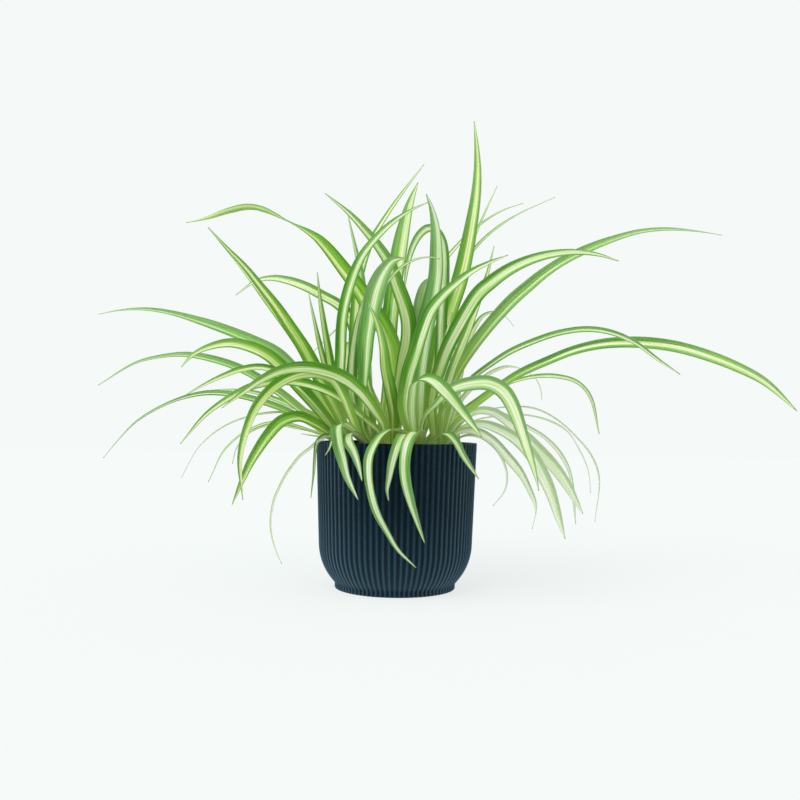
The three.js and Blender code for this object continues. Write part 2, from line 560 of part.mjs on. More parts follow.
// The rootstock, grown by an allowance to give its hole.
function rootstock([x, y], allowance) {
  const radius = STOCK_RADIUS + allowance;
  const foot = SOIL_LEVEL - STOCK_DEPTH - allowance;
  const profile = [
    [0, foot],
    [radius, foot],
    [radius, SOIL_LEVEL + STOCK_TOP / 2],
    [radius * STOCK_CROWN, SOIL_LEVEL + STOCK_TOP],
    [0, SOIL_LEVEL + STOCK_TOP],
  ];
  return solidOf(turned(profile, STOCK_SIDES).translate(x, y, 0));
}

function makeSoil() {
  const holes = ROSETTES.map((rosette) => rootstock(rosette.at, GAP));
  return cavity(GAP, SOIL_LEVEL).subtract(wasm.Manifold.union(holes));
}

// A blade as a closed solid: rings of one edge, the midrib's top, the other edge and its underside.
function makeBlade(stations, ringCount) {
  const step = STATIONS / ringCount;
  const rings = [];
  for (let i = 0; i <= STATIONS; i += step) {
    const s = stations[i];
    const corner = (across, up) =>
      s.centre.clone().addScaledVector(s.across, across).addScaledVector(s.upper, up);
    rings.push([
      corner(s.half, s.rise),
      corner(0, s.thickness / 2),
      corner(-s.half, s.rise),
      corner(0, -s.thickness / 2),
    ]);
  }
  return solidOf(skinOf(rings, stations[0].centre, stations[STATIONS].centre));
}

function makeRosette(rosette, placed) {
  const blades = rosette.leaves.map((leaf) => {
    const rings = leaf.path.length < MANY_POINTS ? FEW_RINGS : RINGS;
    return makeBlade(placeLeaf(leaf, rosette, placed), rings);
  });
  return wasm.Manifold.union([rootstock(rosette.at, 0), ...blades]);
}

// ---- The part --------------------------------------------------------------------------------

const plant = new THREE.Group();
plant.name = "potted_spider_plant";

const potFinish = new THREE.MeshStandardMaterial({ color: 0x26343f, roughness: 0.6 });
plant.add(meshOf("pot", makePot(), potFinish));

const soilFinish = new THREE.MeshStandardMaterial({ color: 0x33261c, roughness: 0.95 });
plant.add(meshOf("potting_soil", makeSoil(), soilFinish));

const placed = [];
for (const rosette of ROSETTES) {
  const leafFinish = new THREE.MeshStandardMaterial({ color: 0x86a857, roughness: 0.5 });
  plant.add(meshOf(rosette.name, makeRosette(rosette, placed), leafFinish));
}

export default plant;
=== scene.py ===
# %% [markdown]
# # A potted spider plant
#
# This lesson dresses a plain model of a potted spider plant. The plain model, called the frame, already
# has every piece at its real size: a ribbed pot, the soil in it and seven rosettes of leaves. Here each
# one gets its fine shape and its finish. A piece that stands for a frame node stays where the node is, so
# nothing has to be fitted afterwards. Lengths are in metres, +Z is up and the viewer stands at -Y.

# %% Load the frame
import math
import random

import bmesh
import bpy
import numpy as np
from mathutils import Matrix, Vector


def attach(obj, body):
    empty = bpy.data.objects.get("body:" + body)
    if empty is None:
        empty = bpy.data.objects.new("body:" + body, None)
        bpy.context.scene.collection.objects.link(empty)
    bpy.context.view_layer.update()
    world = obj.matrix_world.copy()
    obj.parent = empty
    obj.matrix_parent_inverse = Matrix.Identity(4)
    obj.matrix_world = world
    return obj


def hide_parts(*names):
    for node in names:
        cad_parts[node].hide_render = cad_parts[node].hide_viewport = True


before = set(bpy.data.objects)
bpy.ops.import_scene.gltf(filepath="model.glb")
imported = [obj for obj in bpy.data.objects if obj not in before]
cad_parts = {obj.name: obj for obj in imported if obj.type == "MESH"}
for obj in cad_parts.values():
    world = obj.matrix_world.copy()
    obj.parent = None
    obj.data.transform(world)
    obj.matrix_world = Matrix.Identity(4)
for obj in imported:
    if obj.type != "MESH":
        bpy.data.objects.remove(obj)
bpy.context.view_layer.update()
MM = 0.001
print("frame nodes:", ", ".join(sorted(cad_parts)))

# %% [markdown]
# ## The camera
#
# The camera stands a little above the pot's rim, 93 cm in front of the pot's axis, and looks straight ahead.
# A level camera keeps uprights upright, and the lens is shifted up a little instead of tilting the
# camera. The picture leans by less than a degree, so the camera is rolled by as much.

# %% Place the camera
EYE_DISTANCE = 0.930
EYE_HEIGHT = 0.1655
PICTURE_ROLL = math.radians(0.8)
SENSOR = 36.0
PICTURE_SIDE = 800
FOCAL_PIXELS = 930
HORIZON_BELOW_MIDDLE = 21.5  # pixels, as is the next
AXIS_LEFT_OF_MIDDLE = 3

camera = bpy.data.objects.new("camera", bpy.data.cameras.new("camera"))
bpy.context.scene.collection.objects.link(camera)
camera.location = (0, -EYE_DISTANCE, EYE_HEIGHT)
camera.rotation_euler = (math.pi / 2, -PICTURE_ROLL, 0)
camera.data.sensor_width = SENSOR
camera.data.lens = SENSOR * FOCAL_PIXELS / PICTURE_SIDE
camera.data.shift_x = AXIS_LEFT_OF_MIDDLE / PICTURE_SIDE
camera.data.shift_y = HORIZON_BELOW_MIDDLE / PICTURE_SIDE
bpy.context.scene.camera = camera
print("lens", round(camera.data.lens, 2), "mm")

# %% [markdown]
# ## Helpers for modelling
#
# Operators act on whatever is selected, and loading the frame leaves its nodes selected. So each piece
# starts from an empty selection. In edit mode, vertices are picked by a rule on their place. Applying
# every modifier at the end keeps the finished mesh in plain sight.

# %% Selecting and finishing
def select_nothing():
    bpy.ops.object.select_all(action="DESELECT")


def only(piece):
    """Makes a piece the only selected and active object."""
    select_nothing()
    piece.select_set(True)
    bpy.context.view_layer.objects.active = piece


def name_piece(name):
    """Names the object that an operator has just added, and its mesh."""
    piece = bpy.context.object
    piece.name = name
    piece.data.name = name
    return piece


def pick(piece, wanted):
    """In edit mode, selects the vertices whose place passes a test."""
    shape = bmesh.from_edit_mesh(piece.data)
    shape.select_mode = {"VERT"}
    for vertex in shape.verts:
        vertex.select = bool(wanted(vertex.co))
    shape.select_flush_mode()
    bmesh.update_edit_mesh(piece.data)


def apply_modifiers(piece):
    only(piece)
    for modifier in list(piece.modifiers):
        bpy.ops.object.modifier_apply(modifier=modifier.name)


def join(pieces, name):
    """Joins several objects into the first one."""
    select_nothing()
    for piece in pieces:
        piece.select_set(True)
    bpy.context.view_layer.objects.active = pieces[0]
    bpy.ops.object.join()
    return name_piece(name)


def seat(piece, slot, *nodes):
    """Lets a finished piece ride with the part and stand for its frame nodes."""
    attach(piece, "root")
    if nodes:
        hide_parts(*nodes)
    print(piece.name, "has", len(piece.data.polygons), "faces")


# %% [markdown]
# ## Helpers for materials
#
# A material is a small network of nodes. A few short helpers keep the networks readable: they add a node
# and fill or link its inputs, do arithmetic, mix two colours, and make a soft step, a noise pattern or
# bumps. Colours are written as they look on a screen and turned into the linear light that the nodes use.

# %% Adding nodes
def shade(hex_colour):
    """A screen colour such as "4f9a2e" as linear red, green, blue and alpha."""
    parts = [int(hex_colour[i : i + 2], 16) / 255 for i in (0, 2, 4)]
    return [c / 12.92 if c <= 0.04045 else ((c + 0.055) / 1.055) ** 2.4 for c in parts] + [1.0]


def fill(tree, node, inputs):
    """Fills or links a node's inputs, each by its name or number."""
    for key, value in inputs.items():
        if isinstance(value, bpy.types.NodeSocket):
            tree.links.new(value, node.inputs[key])
        else:
            node.inputs[key].default_value = value


def add_node(tree, kind, inputs=None, **settings):
    """Adds a node, makes its settings and fills its inputs."""
    made = tree.nodes.new(kind)
    for key, value in settings.items():
        setattr(made, key, value)
    fill(tree, made, inputs or {})
    return made


def work_out(tree, operation, *values):
    """A Math node's result."""
    inputs = dict(enumerate(values))
    return add_node(tree, "ShaderNodeMath", inputs, operation=operation).outputs[0]


def blend_colours(tree, share, first, second):
    """A share from 0 to 1 of the way from the first colour to the second."""
    inputs = {0: share, 6: first, 7: second}
    return add_node(tree, "ShaderNodeMix", inputs, data_type="RGBA").outputs[2]


def ramp_between(tree, value, low, high, to_low=0.0, to_high=1.0):
    """A soft step: to_low up to low, to_high from high on."""
    inputs = {"Value": value, 1: low, 2: high, 3: to_low, 4: to_high}
    return add_node(tree, "ShaderNodeMapRange", inputs, interpolation_type="SMOOTHSTEP").outputs[0]


def noise_at(tree, place, scale, detail):
    """A noise pattern's value at a place, around 0.5."""
    inputs = {"Vector": place, "Scale": scale, "Detail": detail}
    return add_node(tree, "ShaderNodeTexNoise", inputs).outputs[0]


def bumps(tree, height, strength, distance):
    """The surface's normal where a pattern makes it uneven by up to a distance."""
    inputs = {"Height": height, "Strength": strength, "Distance": distance}
    return add_node(tree, "ShaderNodeBump", inputs).outputs[0]


def new_group(name, inputs, outputs):
    """A node group. Its inputs and outputs are lists of socket names for each kind, Float or Color."""
    tree = bpy.data.node_groups.new(name, "ShaderNodeTree")
    for direction, sockets in (("INPUT", inputs), ("OUTPUT", outputs)):
        for kind, labels in sockets.items():
            for label in labels:
                tree.interface.new_socket(label, in_out=direction, socket_type="NodeSocket" + kind)
    return tree, tree.nodes.new("NodeGroupInput").outputs, tree.nodes.new("NodeGroupOutput")


def new_material(name):
    """A material with its Principled shader and nothing else set."""
    material = bpy.data.materials.new(name)
    material.use_nodes = True
    return material, material.node_tree, material.node_tree.nodes["Principled BSDF"]


# %% [markdown]
# ## The pot's ribs
#
# The pot is one moulded shell. Its outside is covered in fine upright ribs, rounded on top with narrow
# grooves between them, that run from the rim over the shoulder to the foot. It could be cut with a boolean
# for each groove, but a turned shape with its columns pushed in is cleaner: a circle is extruded up the
# outline ring by ring, then the columns that lie in a groove are drawn towards the axis.

# %% The pot's outline
RIM_RADIUS = 80 * MM
RIM_ROUND = 0.6 * MM
POT_HEIGHT = 145 * MM
BODY_TAPER = 3.6 * MM
BODY_RADIUS = RIM_RADIUS - BODY_TAPER
SHOULDER_RADIUS = 56 * MM
SHOULDER_TURN = math.pi / 4
SHOULDER_STEPS = 12
FOOT_HEIGHT = 5.8 * MM
FOOT_ROUND = 1.2 * MM
FOOT_RADIUS = BODY_RADIUS - SHOULDER_RADIUS * (1 - math.cos(SHOULDER_TURN))
SHOULDER_TOP = FOOT_HEIGHT + SHOULDER_RADIUS * math.sin(SHOULDER_TURN)
CORNER = 0.3  # how far in the middle of a rounded edge lies, as a share of its rounding
RIB_COUNT = 84


def pot_outline():
    """Points (radius, height) of the pot's outside, from the edge of its underside to the rim."""
    points = [(FOOT_RADIUS - FOOT_ROUND, 0), (FOOT_RADIUS - FOOT_ROUND * CORNER, FOOT_ROUND * CORNER)]
    points += [(FOOT_RADIUS, FOOT_ROUND), (FOOT_RADIUS, FOOT_HEIGHT - FOOT_ROUND)]
    points += [(FOOT_RADIUS + 0.2 * FOOT_ROUND, FOOT_HEIGHT)]
    for step in range(1, SHOULDER_STEPS + 1):
        angle = SHOULDER_TURN * (1 - step / SHOULDER_STEPS)
        radius = BODY_RADIUS - SHOULDER_RADIUS * (1 - math.cos(angle))
        points.append((radius, SHOULDER_TOP - SHOULDER_RADIUS * math.sin(angle)))
    for share in (0.75, 0.5, 0.25):
        points.append((RIM_RADIUS - BODY_TAPER * share, POT_HEIGHT * (1 - share) + SHOULDER_TOP * share))
    points += [(RIM_RADIUS - 0.05 * RIM_ROUND, POT_HEIGHT - RIM_ROUND)]
    points += [(RIM_RADIUS - RIM_ROUND * CORNER, POT_HEIGHT - RIM_ROUND * CORNER)]
    return points + [(RIM_RADIUS - RIM_ROUND, POT_HEIGHT)]


outline = pot_outline()
print("pot outline:", len(outline), "points, foot radius", round(FOOT_RADIUS / MM, 1), "mm")

# %% Raise it ring by ring
COLUMNS = 8  # columns of vertices to a rib


def next_ring(radius, height, last_radius, last_height):
    """Extrudes the selected ring up and widens or narrows it about the pot's axis."""
    move = {"value": (0, 0, height - last_height)}
    bpy.ops.mesh.extrude_edges_move(TRANSFORM_OT_translate=move)
    ratio = radius / last_radius
    bpy.ops.transform.resize(value=(ratio, ratio, 1), center_override=(0, 0, 0))


select_nothing()
bpy.ops.mesh.primitive_circle_add(vertices=RIB_COUNT * COLUMNS, radius=outline[0][0])
pot = name_piece("pot_shell")
bpy.ops.object.mode_set(mode="EDIT")
for (last_radius, last_height), (radius, height) in zip(outline, outline[1:]):
    next_ring(radius, height, last_radius, last_height)
print("pot outside:", len(outline), "rings of", RIB_COUNT * COLUMNS)

# %% Draw in the grooves
RIB_DEPTH = 1.1 * MM
CREST_ROUNDNESS = 1.6


def column_of(place):
    """Which column of its rib a vertex is in: 0 on the crest, COLUMNS / 2 in the groove."""
    turn = math.atan2(place.y, place.x) / (2 * math.pi) * RIB_COUNT * COLUMNS
    return round(turn) % COLUMNS


for column in range(1, COLUMNS):
    across = min(column, COLUMNS - column) / (COLUMNS / 2)
    depth = RIB_DEPTH * math.sin(across * math.pi / 2) ** CREST_ROUNDNESS
    pick(pot, lambda place: column_of(place) == column)
    ratio = 1 - depth / RIM_RADIUS
    bpy.ops.transform.resize(value=(ratio, ratio, 1), center_override=(0, 0, 0))
print("groove depth", round(RIB_DEPTH / MM, 1), "mm")

# %% [markdown]
# The inside of the pot is plain. It could be made by a Solidify modifier, but then the ribs would show
# inside too. So the ring at the rim is extruded inwards, made round again, and taken down to the inner
# floor. A face closes the floor and another one the underside, so the shell is one closed body.

# %% Close the rim, the inside and the underside
WALL = 5 * MM
FLOOR = 8 * MM


def make_round(radius):
    """Moves each selected vertex out or in to one radius."""
    shape = bmesh.from_edit_mesh(pot.data)
    for vertex in shape.verts:
        if vertex.select:
            flat = Vector((vertex.co.x, vertex.co.y, 0)).normalized() * radius
            vertex.co.x, vertex.co.y = flat.x, flat.y
    bmesh.update_edit_mesh(pot.data)


inner_rim = RIM_RADIUS - WALL
inner_body = BODY_RADIUS - WALL
inner_foot = inner_body - (SHOULDER_RADIUS - WALL) * (1 - math.cos(SHOULDER_TURN))
inside = [(inner_rim + RIM_ROUND, POT_HEIGHT), (inner_rim, POT_HEIGHT - RIM_ROUND)]
inside += [(inner_body, SHOULDER_TOP), (inner_foot, FLOOR)]
pick(pot, lambda place: place.z > POT_HEIGHT - RIM_ROUND * 0.1)
for (last_radius, last_height), (radius, height) in zip(outline[-1:] + inside, inside):
    next_ring(radius, height, last_radius, last_height)
    make_round(radius)
bpy.ops.mesh.edge_face_add()
pick(pot, lambda place: place.z < FOOT_ROUND * 0.1)
bpy.ops.mesh.edge_face_add()
bpy.ops.mesh.select_all(action="SELECT")
bpy.ops.mesh.normals_make_consistent(inside=False)
bpy.ops.object.mode_set(mode="OBJECT")
bpy.ops.object.shade_smooth_by_angle(angle=math.radians(40))
seat(pot, "pot", "pot")

# %% [markdown]
# ## The pot's finish
#
# The real pot is dark navy plastic with a fine grain: it looks matt and close up it is speckled with
# slightly lighter specks. Toward its foot it looks a little paler, where the pale floor lights it. An image
# could be wrapped round it, but noise on Object coordinates needs no seam and no file. A fine noise gives
# the specks, an uneven roughness and very low bumps, and a coarse one clouds the colour. A ramp over the
# height paints the floor's light onto the foot as a paler colour. The grooves are found by their turn round
# the axis and darkened with painted shade, as little light gets into them. A sheen stands for the soft glint
# of the grain where light grazes it.

# %% Grain of the moulded plastic
navy, tree, shader = new_material("navy_plastic")
place = tree.nodes.new("ShaderNodeTexCoord").outputs["Object"]
fine_grain = noise_at(tree, place, 1500, 2)
coarse_grain = noise_at(tree, place, 300, 3)
speck = ramp_between(tree, fine_grain, 0.5, 0.7, 0.0, 0.7)
cloud = ramp_between(tree, coarse_grain, 0.35, 0.65)
plain_navy = blend_colours(tree, cloud, shade("081e2c"), shade("0c2838"))
colour = blend_colours(tree, speck, plain_navy, shade("24485c"))
fill(tree, shader, {
    "Roughness": ramp_between(tree, fine_grain, 0.3, 0.7, 0.7, 0.5),
    "Normal": bumps(tree, fine_grain, 0.5, 0.0002),
    "Specular IOR Level": 0.04,
    "Sheen Weight": 0.5,
    "Sheen Roughness": 0.5,
    "Sheen Tint": shade("9fc4d4"),
})
print("plastic:", navy.name)

# %% Painted floor light on the foot, painted shade in the grooves
x, y, height = add_node(tree, "ShaderNodeSeparateXYZ", {0: place}).outputs
# Painted light: the pale floor lights the lower part of the pot, so it is painted paler toward the foot.
painted_floor_light = ramp_between(tree, height, 95 * MM, 12 * MM, 0.0, 0.42)
colour = blend_colours(tree, painted_floor_light, colour, shade("3a5c70"))
crest = work_out(tree, "COSINE", work_out(tree, "MULTIPLY", work_out(tree, "ARCTAN2", y, x), RIB_COUNT))
squares = work_out(tree, "ADD", work_out(tree, "MULTIPLY", x, x), work_out(tree, "MULTIPLY", y, y))
radius = work_out(tree, "SQRT", squares)
off_the_floor = ramp_between(tree, radius, FOOT_RADIUS - 6 * MM, FOOT_RADIUS - 5 * MM)
# Painted shade: the grooves are darkened, as little light gets into them.
in_groove = work_out(tree, "MULTIPLY", ramp_between(tree, crest, 0.85, -0.1, 0.0, 0.85), off_the_floor)
fill(tree, shader, {"Base Color": blend_colours(tree, in_groove, colour, shade("01070a"))})
pot.data.materials.append(navy)
print("pot finish:", len(tree.nodes), "nodes")

# %% [markdown]
# ## The soil
#
# Potting soil is dark and crumbly, with bits of bark and a few white grains of perlite. Its bed is a low
# closed drum: a circle is extruded inwards in many rings for the top, and the top is roughened by a
# Displace modifier. Bumps in the finish alone would leave it flat. Loose crumbs are scattered over it: one
# crumb is modelled and copied, each copy with its own size, stretch and turn.

# %% Soil bed
SOIL_LEVEL = POT_HEIGHT - 16 * MM
SOIL_DEPTH = 30 * MM
SOIL_GAP = 0.4 * MM
SOIL_TAPER = 0.98
SOIL_RINGS = 22
SOIL_COLUMNS = 96
height_share = (SOIL_LEVEL - SHOULDER_TOP) / (POT_HEIGHT - SHOULDER_TOP)
soil_radius = inner_body + BODY_TAPER * height_share - SOIL_GAP


def from_axis(place):
    """How far a place is from the pot's axis."""
    return math.hypot(place.x, place.y)


select_nothing()
bpy.ops.mesh.primitive_circle_add(vertices=SOIL_COLUMNS, radius=soil_radius, location=(0, 0, SOIL_LEVEL))
soil = name_piece("soil_bed")
bpy.ops.object.transform_apply(location=True, rotation=False, scale=False)
bpy.ops.object.mode_set(mode="EDIT")
bpy.ops.mesh.select_all(action="SELECT")
for ring in range(SOIL_RINGS, 1, -1):
    next_ring(ring - 1, 0, ring, 0)
bpy.ops.mesh.edge_face_add()
bpy.ops.mesh.poke()
pick(soil, lambda place: from_axis(place) > soil_radius * 0.999)
bpy.ops.mesh.extrude_edges_move(TRANSFORM_OT_translate={"value": (0, 0, -SOIL_DEPTH)})
bpy.ops.transform.resize(value=(SOIL_TAPER, SOIL_TAPER, 1), center_override=(0, 0, 0))
bpy.ops.mesh.edge_face_add()
bpy.ops.mesh.select_all(action="SELECT")
bpy.ops.mesh.normals_make_consistent(inside=False)
bpy.ops.object.mode_set(mode="OBJECT")
print("soil radius", round(soil_radius / MM, 1), "mm")

# %% Roughen its top
LUMP_SIZE = 9 * MM
LUMP_HEIGHT = 6 * MM
top = soil.vertex_groups.new(name="top")
top_vertices = [v.index for v in soil.data.vertices
                if v.co.z > SOIL_LEVEL - 1 * MM and from_axis(v.co) < soil_radius * 0.99]
top.add(top_vertices, 1.0, "REPLACE")
lumps = bpy.data.textures.new("soil_lumps", "CLOUDS")
lumps.noise_scale = LUMP_SIZE
lumps.noise_depth = 4
roughen = soil.modifiers.new("lumps", "DISPLACE")
roughen.texture = lumps
roughen.texture_coords = "OBJECT"
roughen.vertex_group = "top"
roughen.strength = LUMP_HEIGHT
roughen.mid_level = 0.55
apply_modifiers(soil)
print("soil top:", len(top_vertices), "vertices roughened")

# %% One crumb
chance = random.Random(7)
select_nothing()
bpy.ops.mesh.primitive_ico_sphere_add(subdivisions=1, radius=1.0)
crumb = name_piece("crumb")
for vertex in crumb.data.vertices:
    vertex.co *= chance.uniform(0.75, 1.2)
crumb_points = np.array([v.co for v in crumb.data.vertices])
crumb_faces = [tuple(p.vertices) for p in crumb.data.polygons]
bpy.data.objects.remove(crumb)
print("one crumb:", len(crumb_faces), "faces")

# %% Copies of the crumb on the soil
SCATTER_RADIUS = soil_radius - 4 * MM


def scattered(count, sizes):
    """Corners and faces of copies of the crumb that lie on the soil."""
    points, faces = [], []
    for _ in range(count):
        angle = chance.uniform(0, 2 * math.pi)
        reach = SCATTER_RADIUS * math.sqrt(chance.random())
        size = chance.uniform(*sizes)
        stretch = np.array([chance.uniform(0.6, 1.7), chance.uniform(0.6, 1.1), chance.uniform(0.4, 0.8)])
        spin = np.array(Matrix.Rotation(chance.uniform(0, math.pi), 3, "Z"))
        middle = np.array([reach * math.cos(angle), reach * math.sin(angle), SOIL_LEVEL + size * 0.2])
        start = len(points) * len(crumb_points)
        points.append(crumb_points * stretch * size @ spin.T + middle)
        faces += [tuple(start + corner for corner in face) for face in crumb_faces]
    return np.concatenate(points), faces


def scatter_piece(name, material, count, sizes):
    """One piece of many loose grains, with sizes between two limits."""
    points, faces = scattered(count, sizes)
    mesh = bpy.data.meshes.new(name)
    mesh.from_pydata(points.tolist(), [], faces)
    mesh.materials.append(material)
    piece = bpy.data.objects.new(name, mesh)
    bpy.context.scene.collection.objects.link(piece)
    seat(piece, "soil")


# %% [markdown]
# Soil, bark and perlite, and later the rootstocks, share one pattern in their own colours and scales. Each
# could have its own nodes, but one node group is built once and used by all: a noise that picks between
# a dark and a light colour, with a second noise for the grit.

# %% Soil, bark and perlite finishes
GRIT_HEIGHT = 0.6 * MM
CRUMBS, CHIPS, WHITE_GRAINS = 420, 60, 46
earth_group, earth_in, earth_out = new_group(
    "earth", {"Color": ["Dark", "Light"], "Float": ["Scale"]}, {"Color": ["Color"], "Float": ["Grit"]})
place = earth_group.nodes.new("ShaderNodeTexCoord").outputs["Object"]
patch = noise_at(earth_group, place, earth_in["Scale"], 5)
grit = noise_at(earth_group, place, 1500, 3)
light_share = work_out(earth_group, "MULTIPLY", grit, ramp_between(earth_group, patch, 0.38, 0.68))
colour = blend_colours(earth_group, light_share, earth_in["Dark"], earth_in["Light"])
fill(earth_group, earth_out, {"Color": colour, "Grit": grit})


def earth_material(name, dark, light, scale):
    """A gritty material that is patchy between a dark and a light colour."""
    material, tree, shader = new_material(name)
    inputs = {"Dark": shade(dark), "Light": shade(light), "Scale": scale}
    earth = add_node(tree, "ShaderNodeGroup", inputs, node_tree=earth_group).outputs
    normal = bumps(tree, earth["Grit"], 0.8, GRIT_HEIGHT)
    fill(tree, shader, {"Base Color": earth["Color"], "Roughness": 0.95, "Normal": normal})
    return material


soil.data.materials.append(earth_material("damp_soil", "1c130c", "5a4230", 260))
seat(soil, "soil", "potting_soil")
loose_soil = earth_material("soil_crumb", "231810", "6b5038", 500)
scatter_piece("soil_crumbs", loose_soil, CRUMBS, (1.0 * MM, 2.6 * MM))
scatter_piece("bark_chips", earth_material("bark", "3b2617", "94704c", 300), CHIPS, (1.8 * MM, 3.4 * MM))
white_stone = earth_material("perlite", "b9b3a8", "f1eee6", 700)
scatter_piece("perlite", white_stone, WHITE_GRAINS, (0.9 * MM, 1.7 * MM))

# %% [markdown]
# ## How the leaves are described
#
# A spider plant's leaves are long, narrow and channelled, and arch out from short rootstocks. What makes
# this plant itself is where each leaf goes. A rule that strews leaves at random would give some spider
# plant, but not this one. So each leaf is a given line in a front view, in millimetres: points (x, z)
# on the plane through the pot's axis, with a depth y where one is chosen. Beside the line stand the leaf's
# greatest width, the turn of its blade at root and tip in degrees, and the name of its look.

# %% Looks of a leaf
# A look is how much of the half width the cream stripe takes, how much wider than that it is at the tip
# and narrower at the root, how far the green leans from blue-green (-1) to yellow-green (1), and how far
# all of it is washed out to white.
LOOKS = {
    "fresh": (0.42, 0.1, 0.10, 0.00),
    "narrow": (0.24, 0.1, 0.20, 0.00),
    "thin": (0.14, 0.2, -0.20, 0.08),
    "late": (0.20, 1.0, -0.25, 0.06),
    "plain": (0.02, 0.0, -0.80, 0.15),
    "cool": (0.42, 0.0, -0.10, 0.05),
    "deep": (0.42, 0.1, -0.40, 0.00),
    "golden": (0.24, 0.2, 0.50, 0.00),
    "yellow": (0.34, 0.0, 0.30, 0.03),
    "misty": (0.40, 0.0, -0.55, 0.04),
    "olive": (0.24, 0.0, -0.25, 0.04),
    "milky": (0.50, 0.0, -0.20, 0.10),
    "soft": (0.46, 0.0, 0.00, 0.08),
    "pale": (0.66, 0.1, -0.45, 0.36),
}
USUAL = {"taper": 3, "widest": 0.5, "late": 1, "wave": 0.06}
ROSETTES = {}


def leaf(width, turn, look, path, **special):
    """A leaf's record. Special values say where along it the leaf is widest, how suddenly it tapers, how
    late it turns and how much its rims wave."""
    return {"width": width, "turn": turn, "look": look, "path": path, **USUAL, **special}


def add_rosette(name, at, leaves):
    """Keeps a rosette's place on the soil and its leaves."""
    ROSETTES[name] = (at, leaves)
    print(name, "has", len(leaves), "leaves")


# %% [markdown]
# The rosette in the middle stands upright. One of its two broadest leaves arches far to the left and turns
# over as it goes.

# %% The middle rosette
add_rosette("crown_centre", (-4, 4), [
    leaf(22, (5, 200), "golden", taper=2.4, late=3.3, path=[(0, 187), (-1, 212), (-5, 240), (-15, 262),
        (-27, 280), (-39, 299), (-50, 313), (-77, 346), (-90, 355.5), (-105, 363.5), (-120, 371.5),
        (-135, 378), (-150, 380), (-168, 376.5), (-190, 369), (-211, 364, 80)]),
    leaf(18.5, (10, 36), "fresh", path=[(1, 187), (4, 207), (7.5, 228), (11, 248), (11, 265), (7, 282),
        (0, 302), (-7, 322), (-19, 341), (-33, 358), (-48, 374), (-72, 394, -12)]),
    leaf(22, (40, 25), "fresh", taper=6, widest=0.7, path=[(-4, 197), (-7, 252), (-4, 287), (0, 319),
        (6, 355), (13, 384), (21, 405, 60)]),
    leaf(11, (20, 45), "soft", path=[(-17, 174), (-30, 203), (-34, 240), (-35, 307), (-40, 332),
        (-46, 359), (-49.5, 376, 84)]),
    leaf(6, (25, 50), "fresh", path=[(-16, 172), (-29, 203), (-30, 240), (-24, 275), (-10, 304),
        (3, 319), (18, 327.5), (33, 330), (43, 328, -40)]),
    leaf(13, (10, 42), "yellow", path=[(-3, 172), (-7, 197), (-12, 222), (-14, 242), (-20, 265),
        (-29, 285, -104)]),
    leaf(14, (5, 5), "fresh", path=[(-5, 165, 62), (-6, 178, 100), (-6, 160, 138), (-8, 112, 160),
        (-10, 60, 166)]),
])

# %% [markdown]
# In front on the left, three leaves rise, three arch to the left, and two hang over the rim.

# %% In front on the left
add_rosette("crown_front_left", (-18, -34), [
    leaf(14, (14, 34), "deep", widest=0.75, path=[(-44, 167), (-56, 207), (-56, 237), (-54, 272),
        (-47, 302), (-36, 329), (-23, 347), (-5, 364.5), (15, 377.5), (31, 385, -52)]),
    leaf(24, (75, 2), "olive", taper=7, late=2, path=[(-34, 160), (-33, 187), (-31, 220), (-29, 252),
        (-25, 277), (-20, 299), (-12.5, 316.5), (-4, 326.5), (7, 329, -60)]),
    leaf(12, (14, 42), "deep", path=[(-44, 187), (-45, 222), (-42, 250), (-38, 270), (-32, 289),
        (-27, 302, -24)]),
    leaf(13, (15, 40), "fresh", path=[(-12, 159), (-23, 179), (-37, 197), (-54, 210), (-75, 217.5),
        (-97, 220), (-117, 216.5), (-135, 208), (-162, 189), (-175, 179, -120)]),
    leaf(9, (22, 40), "fresh", path=[(-17, 154), (-29, 166), (-45, 180), (-63, 193), (-85, 202),
        (-109, 206), (-133, 204), (-154, 197), (-189, 174.5), (-217, 143, -90)]),
    leaf(11, (10, 30), "fresh", path=[(-36, 150), (-45, 171), (-53, 191), (-64, 208), (-81, 214.5),
        (-99, 213), (-117, 205), (-133, 191), (-145, 173), (-157, 130), (-154, 87, -135)]),
    leaf(14, (137, 137), "cool", path=[(-42, 153, -50), (-55, 162, -62), (-60, 160, -70),
        (-59, 145, -76), (-55, 128, -76), (-50, 110, -78), (-39, 87, -84)]),
    leaf(12, (142, 142), "cool", path=[(-34, 146, -52), (-41, 152, -60), (-48, 153, -70),
        (-49, 146, -78), (-43.5, 135, -82), (-39, 122, -84), (-35, 106, -86)]),
])

# %% [markdown]
# In front on the right, two leaves rise and two arch to the right, one of them with a sharp fold. Four
# hang over the rim.

